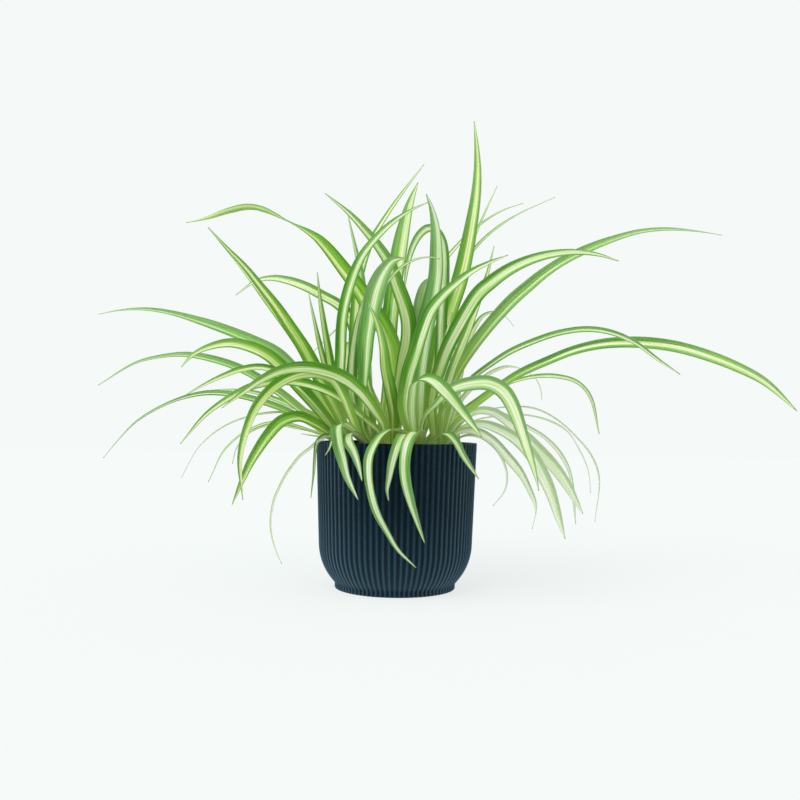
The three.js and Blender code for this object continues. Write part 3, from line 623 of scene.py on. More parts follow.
# %% In front on the right
add_rosette("crown_front_right", (24, -32), [
    leaf(19, (18, 40), "misty", taper=5, path=[(22, 207), (26, 242), (30, 265), (35, 287), (39, 312),
        (39.5, 337), (38, 362), (34, 380), (29, 393, -30)]),
    leaf(15, (10, 46), "deep", taper=2.6, path=[(7, 177), (10, 207), (18.5, 235), (25.5, 257),
        (33, 276), (45, 291), (59, 304), (75, 316), (93, 325), (111, 332, -112)]),
    leaf(15, (140, 125), "deep", taper=5, path=[(16.5, 172, -46), (17, 192, -56), (19, 204, -64),
        (27, 208.5, -74), (37, 206, -84), (49, 195, -93), (61, 181, -100), (85, 150, -110)]),
    leaf(15, (100, 0), "milky", taper=4.5, path=[(27, 167), (40, 183), (55, 197), (73, 202.5),
        (91, 203.5), (105, 197), (114, 185), (127, 150), (139, 110), (141.5, 96, -112)]),
    leaf(10, (115, 115), "cool", path=[(42, 151, -50), (51, 153, -62), (59, 145, -70), (66, 132, -72),
        (73, 121, -70), (82, 108, -66)]),
    leaf(12, (140, 130), "cool", path=[(8, 152, -52), (-4, 157, -66), (-14, 153, -77), (-22, 143, -87),
        (-27.5, 130, -89), (-28.5, 114, -90), (-26, 95, -91), (-20, 74, -91), (-10, 55, -90),
        (1, 37, -88), (19, 19, -84)]),
    leaf(11, (145, 135), "cool", path=[(12, 151, -60), (5, 151, -77), (0, 141, -87), (-5, 125, -91),
        (-8, 109, -91), (-10, 97, -91), (-8.5, 86, -89)]),
    leaf(13, (180, 186), "cool", path=[(24, 152, -58), (18, 154, -76), (11, 143, -91), (8, 124, -96),
        (9, 107, -98), (13.5, 87, -98), (20, 66, -96), (27.5, 44, -93)]),
])

# %% [markdown]
# The left rosette has long arches, from broad leaves down to some as narrow as grass.

# %% On the left
add_rosette("crown_left", (-42, 4), [
    leaf(16.5, (10, 30), "narrow", taper=2, widest=0.45, path=[(-57, 169), (-70, 195), (-82, 218),
        (-94, 240), (-107, 260), (-120.5, 280), (-136, 300), (-152, 320), (-171, 340),
        (-189, 360, -56)]),
    leaf(20, (15, 38), "thin", taper=1.8, path=[(-64, 167), (-82, 191), (-102, 214), (-122, 233.5),
        (-145, 246), (-169, 256), (-197, 266), (-225, 274), (-252, 278), (-277, 277),
        (-298, 273, 130)]),
    leaf(16, (20, 42), "fresh", path=[(-77, 176), (-95, 197), (-113, 217), (-129, 231.5), (-147, 240),
        (-167, 244), (-187, 240.5), (-204, 232.5), (-216, 220, -50)]),
    leaf(12, (34, 42), "thin", taper=2.4, path=[(-77, 162), (-97, 178), (-117, 194), (-139, 209),
        (-162, 220.5), (-187, 228.5), (-212, 232.5), (-237, 230.5), (-262, 224), (-299, 202, 60)]),
    leaf(9, (38, 54), "fresh", path=[(-75, 175), (-95, 197), (-115, 213), (-135, 220), (-155, 218),
        (-175, 211), (-194, 202), (-211, 192.5, -76)]),
    leaf(13, (40, 28), "narrow", widest=0.6, path=[(-71, 157), (-84, 165), (-99, 170.5), (-115, 166),
        (-129, 152), (-140, 136), (-149, 120), (-165, 82, -62)]),
    leaf(9, (30, 40), "thin", taper=2.4, path=[(-75, 156), (-91, 166), (-112, 177), (-137, 186),
        (-162, 192), (-189, 194), (-215, 189), (-240, 178.5), (-262, 164.5), (-280, 146),
        (-294, 129, 100)]),
    leaf(8, (30, 40), "soft", path=[(-82, 170), (-102, 180), (-122, 188), (-142, 194.5), (-162, 197),
        (-182, 197), (-199, 195, 150)]),
    leaf(10, (25, 42), "fresh", path=[(-55, 172), (-63, 202), (-68.5, 235), (-73, 262), (-77, 289),
        (-79.5, 315, 34)]),
    leaf(8, (25, 42), "fresh", path=[(-56, 167), (-65, 195), (-72, 221), (-77, 241), (-85, 278),
        (-88, 293, -20)]),
    leaf(2.6, (30, 48), "soft", path=[(-70, 158), (-92, 168), (-112, 174.5), (-135, 173.5),
        (-154, 169), (-170, 162.5), (-186, 152), (-200, 138), (-216, 109, 70)]),
    leaf(2.8, (30, 48), "soft", path=[(-70, 152), (-85, 156), (-100, 161), (-117, 165), (-132, 163.5),
        (-154, 154), (-165, 145.5), (-175, 134), (-189, 105, -8)]),
    leaf(2.2, (30, 48), "soft", path=[(-80, 154), (-105, 160), (-122, 162.5), (-139, 159), (-152, 151),
        (-161, 138), (-165, 123, 18)]),
    leaf(3, (40, 50), "soft", path=[(-68, 149), (-78, 150.5), (-96, 153.5, 60)]),
    leaf(2.4, (60, 40), "pale", path=[(-60, 152, -26), (-70, 150, -36), (-79, 146, -40),
        (-87, 139, -42), (-97, 131, -42), (-105, 121), (-112, 111), (-118, 99), (-123, 87),
        (-126.5, 62), (-122, 39), (-115, 23, -46)]),
    leaf(5, (30, 20), "soft", path=[(-62, 149, -8), (-73, 151, -14), (-80.5, 144, -18),
        (-82.5, 127, -20), (-83.5, 112, -20), (-86, 89, -20)]),
    leaf(5, (130, 130), "cool", path=[(-52, 150, -32), (-59, 151, -48), (-65, 146, -58),
        (-68, 138, -60), (-72, 131.5, -58)]),
])

# %% [markdown]
# The right rosette has the longest leaf. Close to the pot hangs a cluster of pale ones.

# %% On the right
add_rosette("crown_right", (42, 6), [
    leaf(16, (10, 30), "thin", path=[(49, 187), (60, 215), (85, 252), (114, 285), (131, 300),
        (148, 314), (168, 327), (193, 339), (218, 348.5), (243, 355.5), (271, 358), (303, 355.5),
        (325, 352, 150)]),
    leaf(18, (15, 52), "deep", widest=0.65, path=[(35, 187), (43, 217), (50, 237), (60, 257),
        (81, 292.5), (95, 305), (112, 317), (132, 326.5), (153, 332.5), (178, 335), (201, 332.5),
        (222, 326, -60)]),
    leaf(10.5, (40, 20), "late", taper=9, widest=0.8, wave=0.18, path=[(55, 160), (69, 173.5), (85, 187),
        (103, 201), (123, 213.5), (148, 225), (178, 237), (208, 243.5), (243, 244.5), (278, 240.5),
        (308, 232.5), (338, 221), (368, 205), (400, 176, -120)]),
    leaf(5, (15, 32), "late", taper=8, path=[(43, 174), (58, 192), (75, 209), (93, 222.5),
        (113, 235.5), (138, 246.5), (163, 254.5), (191, 258), (215, 254.5), (238, 244.5), (261, 227.5),
        (283, 212.5, -165)]),
    leaf(11, (18, 38), "soft", path=[(47, 187), (55, 217), (63, 237), (71, 257), (79, 279), (85, 297),
        (90, 312), (97, 341, 80)]),
    leaf(8, (10, 20), "soft", path=[(59, 197), (68, 235), (77, 259), (87, 272), (97, 275), (108, 271),
        (117, 261, 120)]),
    leaf(9, (28, 44), "fresh", path=[(37, 187), (42, 222), (49, 252), (55, 275, 24)]),
    leaf(13, (85, 5), "pale", taper=7, widest=0.8, path=[(63, 157), (83, 163), (103, 157), (120, 147),
        (133, 134), (144, 116), (153, 97), (168, 48, -80)]),
    leaf(14, (78, 5), "pale", taper=6, widest=0.7, path=[(61, 163), (79, 175), (95, 174.5), (113, 163),
        (129, 149), (144, 134), (158, 119), (170, 102), (186, 73, -18)]),
    leaf(8.5, (75, 5), "pale", taper=5, widest=0.7, path=[(68, 167), (88, 175), (108, 172), (128, 161),
        (148, 149), (163, 133), (173, 113), (179, 63, 60)]),
    leaf(10, (82, 5), "pale", taper=5, widest=0.72, path=[(61, 154, -12), (78, 156, -30),
        (95, 147, -44), (111, 130, -54), (124, 114), (133, 97), (139, 79), (135, 58, -110)]),
    leaf(2.2, (40, 40), "pale", path=[(66, 151, -4), (83, 150, -12), (96, 141), (105, 129), (110, 112),
        (108, 97), (96, 81, -30)]),
    leaf(7.5, (86, 0), "pale", taper=7, widest=0.8, path=[(69, 167), (88, 176), (113, 180), (138, 178),
        (160, 167), (180, 149), (195, 130), (202, 109), (198, 65, 130)]),
    leaf(4, (80, 10), "pale", widest=0.7, path=[(73, 164), (101, 171), (128, 172), (153, 166),
        (171, 155), (182, 138), (191, 118), (194, 94, 92)]),
    leaf(6.5, (84, 0), "soft", taper=7, widest=0.8, path=[(65, 169), (88, 191), (113, 204),
        (138, 210.5), (161, 210.5), (180, 205), (193, 191), (202.5, 153, 60)]),
    leaf(6, (15, 32), "pale", path=[(61, 182), (78, 202), (95, 215), (111, 220.5), (127, 217),
        (139, 208), (144, 197), (145, 187, 120)]),
])

# %% [markdown]
# Of the leaves behind, some show between the others. The rest fill the back, which the picture doesn't
# show, and either follow those in front of them or arch away behind the pot.

# %% Behind on the left
add_rosette("crown_back_left", (-22, 42), [
    leaf(14, (15, 30), "fresh", taper=2.2, path=[(-41, 207), (-42, 267), (-37, 312), (-25, 347),
        (-9, 374), (8, 398), (27, 423, 100)]),
    leaf(13, (5, 10), "fresh", taper=6, path=[(-33, 197), (-39, 242), (-48, 271), (-59, 282.5),
        (-75, 291.5), (-92, 300.5), (-109, 306.5), (-125, 309), (-141, 306), (-161.5, 292, 150)]),
    leaf(9, (30, 40), "deep", path=[(-33, 197), (-34, 240), (-33, 262), (-36, 273), (-44, 272),
        (-55, 263), (-66, 252.5), (-84, 235, 140)]),
    leaf(9, (30, 40), "soft", path=[(-31, 187), (-36, 211), (-43, 220), (-52, 217), (-60, 209, 66)]),
    leaf(12, (30, 50), "fresh", path=[(-44, 167), (-70, 195), (-98, 241), (-129, 284), (-160, 325),
        (-178, 346, 190)]),
    leaf(12, (36, 60), "fresh", path=[(-58, 167), (-102, 214), (-145, 247), (-197, 267), (-235, 276),
        (-264, 279, 190)]),
    leaf(15, (30, 60), "fresh", path=[(-11, 207), (-10, 240), (-17, 262), (-27, 280), (-50, 313),
        (-77, 346), (-105, 363.5), (-150, 378), (-200, 367, 190)]),
    leaf(18, (12, 12), "fresh", path=[(-30, 190, 66), (-38, 232, 100), (-44, 244, 142), (-50, 215, 190),
        (-54, 160, 226)]),
    leaf(16, (2, 2), "deep", path=[(-36, 200, 76), (-38, 246, 112), (-36, 256, 162), (-30, 234, 212),
        (-24, 188, 248)]),
    leaf(14, (20, 20), "fresh", path=[(-44, 168, 72), (-54, 178, 106), (-60, 158, 140), (-60, 114, 162),
        (-56, 68, 168)]),
    leaf(15, (8, 8), "soft", path=[(-26, 166, 86), (-30, 182, 124), (-34, 164, 166), (-36, 118, 196),
        (-36, 60, 206)]),
])

# %% Behind on the right
add_rosette("crown_back_right", (20, 40), [
    leaf(20, (8, 30), "yellow", taper=3.2, path=[(33, 197), (41.5, 242), (53, 277), (63, 307), (70, 337),
        (75, 365), (79, 392), (80.5, 417), (79.5, 442), (77, 466, 70)]),
    leaf(11.5, (10, 10), "deep", taper=5, path=[(41, 217), (45, 277), (47, 312), (47, 333),
        (44.5, 347), (39, 356), (32, 359), (24, 354), (16.5, 342), (10.5, 322), (7, 295, 44)]),
    leaf(20, (20, 20), "plain", taper=8, path=[(22, 207), (23, 257), (24.5, 287), (29, 304),
        (37, 310, 64)]),
    leaf(8, (28, 48), "soft", path=[(45, 237), (55, 282), (66, 319), (76, 347), (85, 368), (93, 386),
        (100, 401, 150)]),
    leaf(8, (28, 48), "soft", path=[(19, 197), (25, 247), (34, 292), (45, 322), (59, 340), (73, 354.5),
        (89, 367), (106, 377), (126, 384, 84)]),
    leaf(8, (30, 48), "soft", path=[(39, 197), (47, 252), (56, 296), (67, 323.5), (83, 344.5),
        (100, 359.5), (123, 374), (140, 382), (158, 390, 190)]),
    leaf(7, (28, 44), "plain", path=[(22, 187), (22, 217), (20, 237), (16, 250), (11, 261, 46)]),
    leaf(9, (28, 44), "fresh", path=[(30, 187), (34, 225), (41, 257), (50, 287, 96)]),
    leaf(14, (30, 45), "fresh", path=[(33, 197, 78), (41.5, 242), (53, 277), (63, 307), (70, 337),
        (75, 365), (79, 420, 150)]),
    leaf(14, (30, 58), "fresh", path=[(43, 217, 84), (59, 257), (94, 307), (131, 328.5), (178, 336),
        (215, 329, 170)]),
    leaf(10, (36, 60), "fresh", path=[(52, 165, 62), (85, 189), (123, 214), (178, 237), (243, 244.5),
        (290, 238), (328, 225, 120)]),
    leaf(18, (4, 4), "deep", path=[(17, 200, 80), (19, 250, 118), (17, 264, 168), (13, 242, 218),
        (9, 186, 258)]),
    leaf(16, (14, 14), "fresh", path=[(34, 190, 72), (44, 230, 106), (54, 238, 150), (60, 204, 196),
        (62, 150, 226)]),
    leaf(14, (10, 10), "soft", path=[(30, 166, 80), (38, 182, 116), (44, 166, 156), (47, 120, 184),
        (46, 64, 192)]),
    leaf(14, (20, 20), "fresh", path=[(44, 158, 72), (54, 163, 98), (58, 150, 122), (58, 112, 140),
        (55, 66, 148)]),
])
print(sum(len(leaves) for _, leaves in ROSETTES.values()), "leaves in all")

# %% [markdown]
# ## From a line to a midrib
#
# The picture lines are first carried into space: a point seen at (x, z) lies on the line of sight through
# it, at its own depth y. A smooth curve through the points is the midrib. Blender's own curves would do,
# but each leaf has to lie just where the frame's plain leaf lies, so this is the rule that shaped the
# frame. It is worked out in millimetres.

# %% Points of a midrib in space
VIEW_DISTANCE = EYE_DISTANCE / MM
VIEW_HEIGHT = EYE_HEIGHT / MM
ROOT_LEVEL = 134
ROOT_OFFSET = 3.5


def in_space(x, z, y):
    """The point at depth y that the viewer sees at (x, z)."""
    drop = VIEW_HEIGHT - z
    across = x * math.cos(PICTURE_ROLL) + drop * math.sin(PICTURE_ROLL)
    down = drop * math.cos(PICTURE_ROLL) - x * math.sin(PICTURE_ROLL)
    spread = 1 + y / VIEW_DISTANCE
    return np.array([across * spread, y, VIEW_HEIGHT - down * spread])


def midrib_points(one, at, lean):
    """The midrib's control points. A lean moves the leaf back or forward, most at its tip."""
    view = [(at[0], ROOT_LEVEL, at[1])] + one["path"]
    steps = [math.dist(b[:2], a[:2]) for a, b in zip(view, view[1:])]
    along = np.concatenate([[0], np.cumsum(steps)])
    known = [i for i, point in enumerate(view) if len(point) == 3]
    depths = np.interp(along, along[known], [view[i][2] for i in known])
    depths += lean * np.sqrt(along / along[-1])
    points = [in_space(point[0], point[1], depth) for point, depth in zip(view, depths)]
    heading = points[1][:2] - at
    points[0][:2] = np.array(at) + heading / np.linalg.norm(heading) * ROOT_OFFSET
    points[0][2] = ROOT_LEVEL
    return np.array(points)


print("what is seen 100 mm up and lies 100 mm behind the axis is at", in_space(0, 100, 100).round(1))

# %% A smooth curve through them
CURVE_STEPS = 200


def curve_at(points, shares):
    """Points of a centripetal Catmull-Rom curve through the control points."""
    padded = np.vstack([2 * points[0] - points[1], points, 2 * points[-1] - points[-2]])
    place = shares * (len(points) - 1)
    part = np.minimum(place.astype(int), len(points) - 2)
    weight = (place - part)[:, None]
    p0, p1, p2, p3 = (padded[part + i] for i in range(4))
    d0, d1, d2 = (np.sqrt(np.linalg.norm(b - a, axis=1))[:, None] for a, b in ((p0, p1), (p1, p2), (p2, p3)))
    start = ((p1 - p0) / d0 - (p2 - p0) / (d0 + d1) + (p2 - p1) / d1) * d1
    end = ((p2 - p1) / d1 - (p3 - p1) / (d1 + d2) + (p3 - p2) / d2) * d1
    square = (3 * (p2 - p1) - 2 * start - end) * weight**2
    return p1 + start * weight + square + (2 * (p1 - p2) + start + end) * weight**3


def evenly_spaced(points, count):
    """Points at even distances along the curve."""
    shares = np.linspace(0, 1, CURVE_STEPS + 1)
    line = curve_at(points, shares)
    lengths = np.concatenate([[0], np.cumsum(np.linalg.norm(np.diff(line, axis=0), axis=1))])
    return curve_at(points, np.interp(np.linspace(0, lengths[-1], count + 1), lengths, shares))


first_at, first_leaves = ROSETTES["crown_centre"]
print("tip of the first leaf:", evenly_spaced(midrib_points(first_leaves[0], first_at, 0), 1)[-1].round(1))

# %% [markdown]
# A blade needs more than its midrib. Along the midrib a direction "across" is carried with no twist of its
# own, and the leaf's turn is added to it. Width, channel and taper follow fixed rules: a leaf starts
# narrow and folded up at its root, and ends nearly flat in a fine tip.

# %% The frame along a midrib
BASE_SHARE, TIP_WIDTH = 0.32, 0.5
BASE_CHANNEL, TIP_CHANNEL = 0.45, 0.1


def side_of(one, at):
    """-1 for a leaf whose tip lies left of its root, 1 for the others."""
    return -1 if one["path"][-1][0] < at[0] else 1


def blade_frame(one, at, lean, count):
    """Centre, across and upper directions, half width and edge rise at even steps of the midrib."""
    centres = evenly_spaced(midrib_points(one, at, lean), count)
    ahead = np.vstack([centres[1:], centres[-1:]]) - np.vstack([centres[:1], centres[:-1]])
    tangents = ahead / np.linalg.norm(ahead, axis=1)[:, None]
    share = np.linspace(0, 1, count + 1)
    root_turn, tip_turn = one["turn"]
    turns = -side_of(one, at) * np.radians(root_turn + (tip_turn - root_turn) * share ** one["late"])
    flat = np.array([-tangents[0][2], 0, tangents[0][0]])
    across = []
    for tangent, turn in zip(tangents, turns):
        flat = flat - flat.dot(tangent) * tangent
        flat /= np.linalg.norm(flat)
        across.append(flat * math.cos(turn) + np.cross(tangent, flat) * math.sin(turn))
    swell = np.sin(np.minimum(share / one["widest"], 1) * math.pi / 2)
    narrowing = 1 - share ** one["taper"]
    width = one["width"] * (BASE_SHARE + (1 - BASE_SHARE) * swell) * narrowing + TIP_WIDTH
    rise = (BASE_CHANNEL + (TIP_CHANNEL - BASE_CHANNEL) * np.sqrt(share)) * width / 2
    return centres, np.array(across), np.cross(tangents, across), width / 2, rise


half_widths = blade_frame(first_leaves[0], first_at, 0, 10)[3]
print("the first leaf is up to", round(2 * half_widths.max(), 1), "mm wide")

# %% [markdown]
# Leaves must not cut through each other. One after another, each leaf is leaned back or forward by the
# least that brings it clear of the pot's wall and of all leaves placed before it, or else by what touches
# least. The neck, where a rosette's own leaves grow together, doesn't count. Points spread over each blade
# stand for it here, as they are quick to compare.

# %% Where a leaf comes too near
CLEARANCE, CLEARANCE_WITHIN, NECK_TOP = 5, 3, 174  # millimetres, as are the other lengths here
POT_CLEARANCE = 1.5
WALL_PENALTY, CROSSING_PENALTY = 10, 3


def samples_of(blade):
    """Five points across the blade at each step."""
    centres, across, upper, half, rise = (v if v.ndim == 2 else v[:, None] for v in blade)
    shares = (-1, -0.5, 0, 0.5, 1)
    return np.concatenate([centres + across * s * half + upper * abs(s) * rise for s in shares])


def count_hits(samples, rosette, placed):
    """A weighted count of a leaf's points that come too near the pot's wall or the leaves placed so far."""
    radius = np.hypot(samples[:, 0], samples[:, 1])
    low_enough = samples[:, 2] < POT_HEIGHT / MM + POT_CLEARANCE
    past_inside = radius > (RIM_RADIUS - WALL) / MM - POT_CLEARANCE
    hits = WALL_PENALTY * np.sum(low_enough & past_inside & (radius < RIM_RADIUS / MM + POT_CLEARANCE))
    low, high = samples.min(axis=0) - CLEARANCE, samples.max(axis=0) + CLEARANCE
    for other_rosette, other in placed:
        if (other.min(axis=0) > high).any() or (other.max(axis=0) < low).any():
            continue
        within = other_rosette == rosette
        near, lowest = (CLEARANCE_WITHIN, NECK_TOP) if within else (CLEARANCE, 0)
        ours = samples[samples[:, 2] >= lowest]
        theirs = other[(other[:, 2] > lowest) & (other >= low).all(axis=1) & (other <= high).all(axis=1)]
        if len(ours) and len(theirs):
            apart = ((ours[:, None] - theirs) ** 2).sum(axis=2)
            hits += (1 if within else CROSSING_PENALTY) * np.sum((apart < near**2).any(axis=1))
    return hits


first_samples = samples_of(blade_frame(first_leaves[0], first_at, 0, 10))
print("hits of the first leaf on the pot's wall:", count_hits(first_samples, "crown_centre", []))

# %% Lean every leaf clear of the others
STATIONS = 48
LEAN_STEP, LEAN_TRIES = 4, 25


def best_lean(one, rosette, at, placed):
    """The smallest lean that brings a leaf clear, or else the one with the fewest hits."""
    best_hits, best = math.inf, None
    for attempt in range(LEAN_TRIES):
        lean = (1 if attempt % 2 else -1) * math.ceil(attempt / 2) * LEAN_STEP
        samples = samples_of(blade_frame(one, at, lean, STATIONS))
        hits = count_hits(samples, rosette, placed)
        if hits < best_hits:
            best_hits, best = hits, (lean, samples)
        if hits == 0:
            break
    placed.append((rosette, best[1]))
    return best[0]


placed = []
leans = {rosette: [best_lean(one, rosette, at, placed) for one in leaves]
         for rosette, (at, leaves) in ROSETTES.items()}
for rosette, chosen in leans.items():
    print(rosette, "leans", chosen)

# %% [markdown]
# ## The blades
#
# One blank leaf is modelled: a flat grid, 8 cells across and 96 along, with a UV map that runs from edge
# to edge and from root to tip. Each leaf is a copy with its own mesh whose vertices are laid on the
# blade's frame. A Curve modifier could bend the blank too, but it can't follow the channel and the turn of
# the frame's leaves. The cross section is a soft channel, and the rims wave a little, as in any real leaf.
# Each copy also carries a few numbers, such as how wide its cream stripe is, which the material reads.

# %% The blank leaf
CELLS_ACROSS, CELLS_ALONG = 8, 96
select_nothing()
bpy.ops.mesh.primitive_grid_add(x_subdivisions=CELLS_ACROSS, y_subdivisions=CELLS_ALONG, size=1)
blank = name_piece("leaf_blank")
blank.data.uv_layers[0].name = "blade"
grid = np.array([v.co for v in blank.data.vertices])
blank_across = np.round((grid[:, 0] + 0.5) * CELLS_ACROSS) / CELLS_ACROSS
blank_along = np.round((grid[:, 1] + 0.5) * CELLS_ALONG).astype(int)
print("blank leaf:", len(grid), "vertices")

# %% Lay a copy on each leaf's frame
SOFT_CHANNEL = 1.35  # 1 would be a channel with straight sides
RIM_LAG = 1.3  # how far the waves of the two rims are out of step
STRIPE_SHIFT = 0.15
nature = random.Random(21)


def lay_leaf(one, at, lean, number):
    """A copy of the blank laid on the leaf's frame, with the numbers its material reads."""
    only(blank)
    bpy.ops.object.duplicate()
    piece = name_piece("leaf")
    centres, across, upper, half, rise = blade_frame(one, at, lean, CELLS_ALONG)
    step = blank_along
    share = 1 - 2 * blank_across
    first_turn, waves = nature.uniform(0, 6), nature.uniform(2.5, 4.5)
    wave = np.sin(first_turn + step / CELLS_ALONG * waves * 2 * math.pi + RIM_LAG * np.sign(share))
    lift = np.abs(share) ** SOFT_CHANNEL * rise[step] + one["wave"] * wave * half[step] * share**2
    points = centres[step] + across[step] * (share * half[step])[:, None] + upper[step] * lift[:, None]
    piece.data.vertices.foreach_set("co", (points * MM).ravel())
    stripe, growth, tone, pale = LOOKS[one["look"]]
    numbers = {
        "leaf_number": number,
        "stripe": stripe * nature.uniform(0.88, 1.12),
        "growth": growth,
        "tone": tone + nature.uniform(-0.15, 0.15),
        "pale": pale * nature.uniform(0.8, 1.2),
        "shift": side_of(one, at) * STRIPE_SHIFT * nature.uniform(0.3, 1.5),
        "seed": nature.uniform(0, 50),
        "half_width": one["width"] / 2,
    }
    for name, value in numbers.items():
        values = [value] * len(points)
        piece.data.attributes.new(name, "FLOAT", "POINT").data.foreach_set("value", values)
    return piece


# %% [markdown]
# ## The leaf's finish
#
# The leaf is variegated: a cream stripe down the middle, green rims. Close up, both are drawn with fine
# lines along the leaf, for the veins run side by side. A painted image would need one for each leaf. Here
# the lines come from noise stretched along the leaf's own UV map, in a node group, and no two leaves have
# the same ones. How wide the leaf is comes in too, so the lines are as fine on a broad leaf as on a
# narrow one.

# %% Veins
vein_group, vein_in, vein_out = new_group(
    "parallel_veins", {"Float": ["Seed", "Half Width"]}, {"Float": ["Across", "Along", "Streaks", "Lines"]})
blade_map = add_node(vein_group, "ShaderNodeUVMap", uv_map="blade").outputs[0]
across_leaf, along_leaf = add_node(vein_group, "ShaderNodeSeparateXYZ", {0: blade_map}).outputs[:2]
halved_millimetres = work_out(vein_group, "MULTIPLY", across_leaf, vein_in["Half Width"])


def stretched_noise(lines_per_mm, lengthwise, seed_shift):
    """Noise drawn out along the leaf."""
    x = work_out(vein_group, "MULTIPLY", halved_millimetres, lines_per_mm * 2)
    y = work_out(vein_group, "MULTIPLY", along_leaf, lengthwise)
    z = work_out(vein_group, "ADD", vein_in["Seed"], seed_shift)
    spot = add_node(vein_group, "ShaderNodeCombineXYZ", {0: x, 1: y, 2: z}).outputs[0]
    return noise_at(vein_group, spot, 1.0, 2.0)


fill(vein_group, vein_out, {
    "Across": across_leaf,
    "Along": along_leaf,
    "Streaks": stretched_noise(0.55, 3.0, 0),
    "Lines": stretched_noise(1.6, 5.0, 9),
})
print("node group:", vein_group.name)

# %% [markdown]
# A second group turns the lines into colour. It first measures how far a point is past the edge of the
# stripe. The stripe may lie off the middle and widen along the leaf, and the lines make its edge ragged.

# %% Where the stripe ends
FROM_VEINS = ["Across", "Along", "Streaks", "Lines"]
FROM_LEAF = ["Stripe", "Growth", "Shift", "Tone", "Pale"]
stripe_group, stripe_in, stripe_out = new_group(
    "variegation", {"Float": FROM_VEINS + FROM_LEAF}, {"Color": ["Color"]})
tree = stripe_group


def from_middle(value, reach):
    """A value from 0 to 1 as one from minus half the reach to plus half of it."""
    return work_out(stripe_group, "MULTIPLY", work_out(stripe_group, "SUBTRACT", value, 0.5), reach)


off_centre = work_out(tree, "SUBTRACT", stripe_in["Across"], 0.5)
from_stripe = work_out(tree, "ABSOLUTE", work_out(tree, "SUBTRACT", off_centre, stripe_in["Shift"]))
ragged = from_middle(stripe_in["Streaks"], 0.35)
finely_ragged = from_middle(stripe_in["Lines"], 0.25)
from_stripe = work_out(tree, "ADD", from_stripe, work_out(tree, "ADD", ragged, finely_ragged))
widening = work_out(tree, "MULTIPLY_ADD", from_middle(stripe_in["Along"], 2), stripe_in["Growth"], 1)
stripe_edge = work_out(tree, "MULTIPLY", work_out(tree, "MULTIPLY", stripe_in["Stripe"], widening), 0.5)
past_edge = work_out(tree, "SUBTRACT", from_stripe, stripe_edge)
print("node group:", stripe_group.name)

# %% [markdown]
# Cream, a soft green border, green and a darker rim follow each other from the stripe outwards, and all lean
# to blue or yellow with the leaf's tone. The rim mask also darkens the margin on the stripe's broader side:
# that is painted shade, for that side of the channel turns away from the light. Cream and green have a
# lighter and a darker colour for the lines.
# At the root a leaf is yellowish, as it grew in the shade of the others. Its outer half is a little washed
# out, as the bright light in the photo does it, and its very tip is dry and brown. Each of these is a layer
# that is blended over the ones before it, so a small table names them and a loop adds them.

# %% Stripe, rims and painted shade, root and tip
both_sizes = work_out(tree, "ADD", stripe_in["Lines"], stripe_in["Streaks"])
line = ramp_between(tree, both_sizes, 0.86, 1.14)
tone_share = ramp_between(tree, stripe_in["Tone"], -1.0, 1.0)


def by_tone(blue_green, yellow_green):
    """A colour between its blue-green and its yellow-green version, by the leaf's tone."""
    return blend_colours(stripe_group, tone_share, shade(blue_green), shade(yellow_green))


cream = blend_colours(tree, line, by_tone("e8f0d6", "edf2b6"), by_tone("b6d29c", "b6d472"))
green = blend_colours(tree, line, by_tone("33741f", "4c8c10"), by_tone("68a846", "8bbf3a"))
yellowish = blend_colours(tree, line, shade("d2e88c"), shade("9cc84c"))
# The rim is darker at both edges, and painted shade darkens the whole margin on the stripe's broader side.
rim = ramp_between(tree, work_out(tree, "ABSOLUTE", off_centre), 0.32, 0.5, 0.0, 0.6)
broad_side = work_out(tree, "MULTIPLY", off_centre, work_out(tree, "SIGN", stripe_in["Shift"]))
rim = work_out(tree, "MAXIMUM", rim, ramp_between(tree, broad_side, -0.15, -0.42, 0.0, 0.6))
along = stripe_in["Along"]
layers = {
    "border": (ramp_between(tree, past_edge, -0.09, 0.01), by_tone("98c17c", "a9d05c")),
    "green": (ramp_between(tree, past_edge, -0.02, 0.10), green),
    # The rims layer holds the darker edges and the painted shade of the broader margin.
    "rims": (rim, by_tone("2f6a26", "448410")),
    "root": (ramp_between(tree, along, 0.05, 0.38, 0.65, 0.0), yellowish),
    "pale leaf": (stripe_in["Pale"], shade("f2f6f0")),
    "outer half": (ramp_between(tree, along, 0.5, 1.0, 0.0, 0.16), shade("d5dfca")),
    "dry tip": (ramp_between(tree, along, 0.985, 0.997, 0.0, 0.75), shade("8a6a3f")),
}
leaf_colour = cream
for share, over in layers.values():
    leaf_colour = blend_colours(tree, share, leaf_colour, over)
fill(tree, stripe_out, {"Color": leaf_colour})
print("over the cream:", ", ".join(layers))

# %% [markdown]
# The upper side and the underside are two materials that use the same two groups. The underside is paler
# and duller. Light passes through a leaf, so the shader has some subsurface scattering.

# %% Upper side and underside
def attribute(tree, name):
    """A number that the leaf carries."""
    return add_node(tree, "ShaderNodeAttribute", attribute_name=name).outputs["Fac"]


def leaf_material(name, wash, wash_colour, roughness):
    """A leaf material whose colour is washed towards another by a share."""
    material, tree, shader = new_material(name)
    inputs = {"Seed": attribute(tree, "seed"), "Half Width": attribute(tree, "half_width")}
    veins = add_node(tree, "ShaderNodeGroup", inputs, node_tree=vein_group).outputs
    inputs = {socket: veins[socket] for socket in FROM_VEINS}
    inputs.update({socket: attribute(tree, socket.lower()) for socket in FROM_LEAF})
    stripes = add_node(tree, "ShaderNodeGroup", inputs, node_tree=stripe_group).outputs
    fill(tree, shader, {
        "Base Color": blend_colours(tree, wash, stripes["Color"], shade(wash_colour)),
        "Roughness": roughness,
        "Normal": bumps(tree, veins["Lines"], 0.3, 0.0003),
        "Specular IOR Level": 0.16,
        "Subsurface Weight": 0.65,
        "Subsurface Radius": (1.0, 1.0, 0.5),
        "Subsurface Scale": 0.002,
    })
    return material


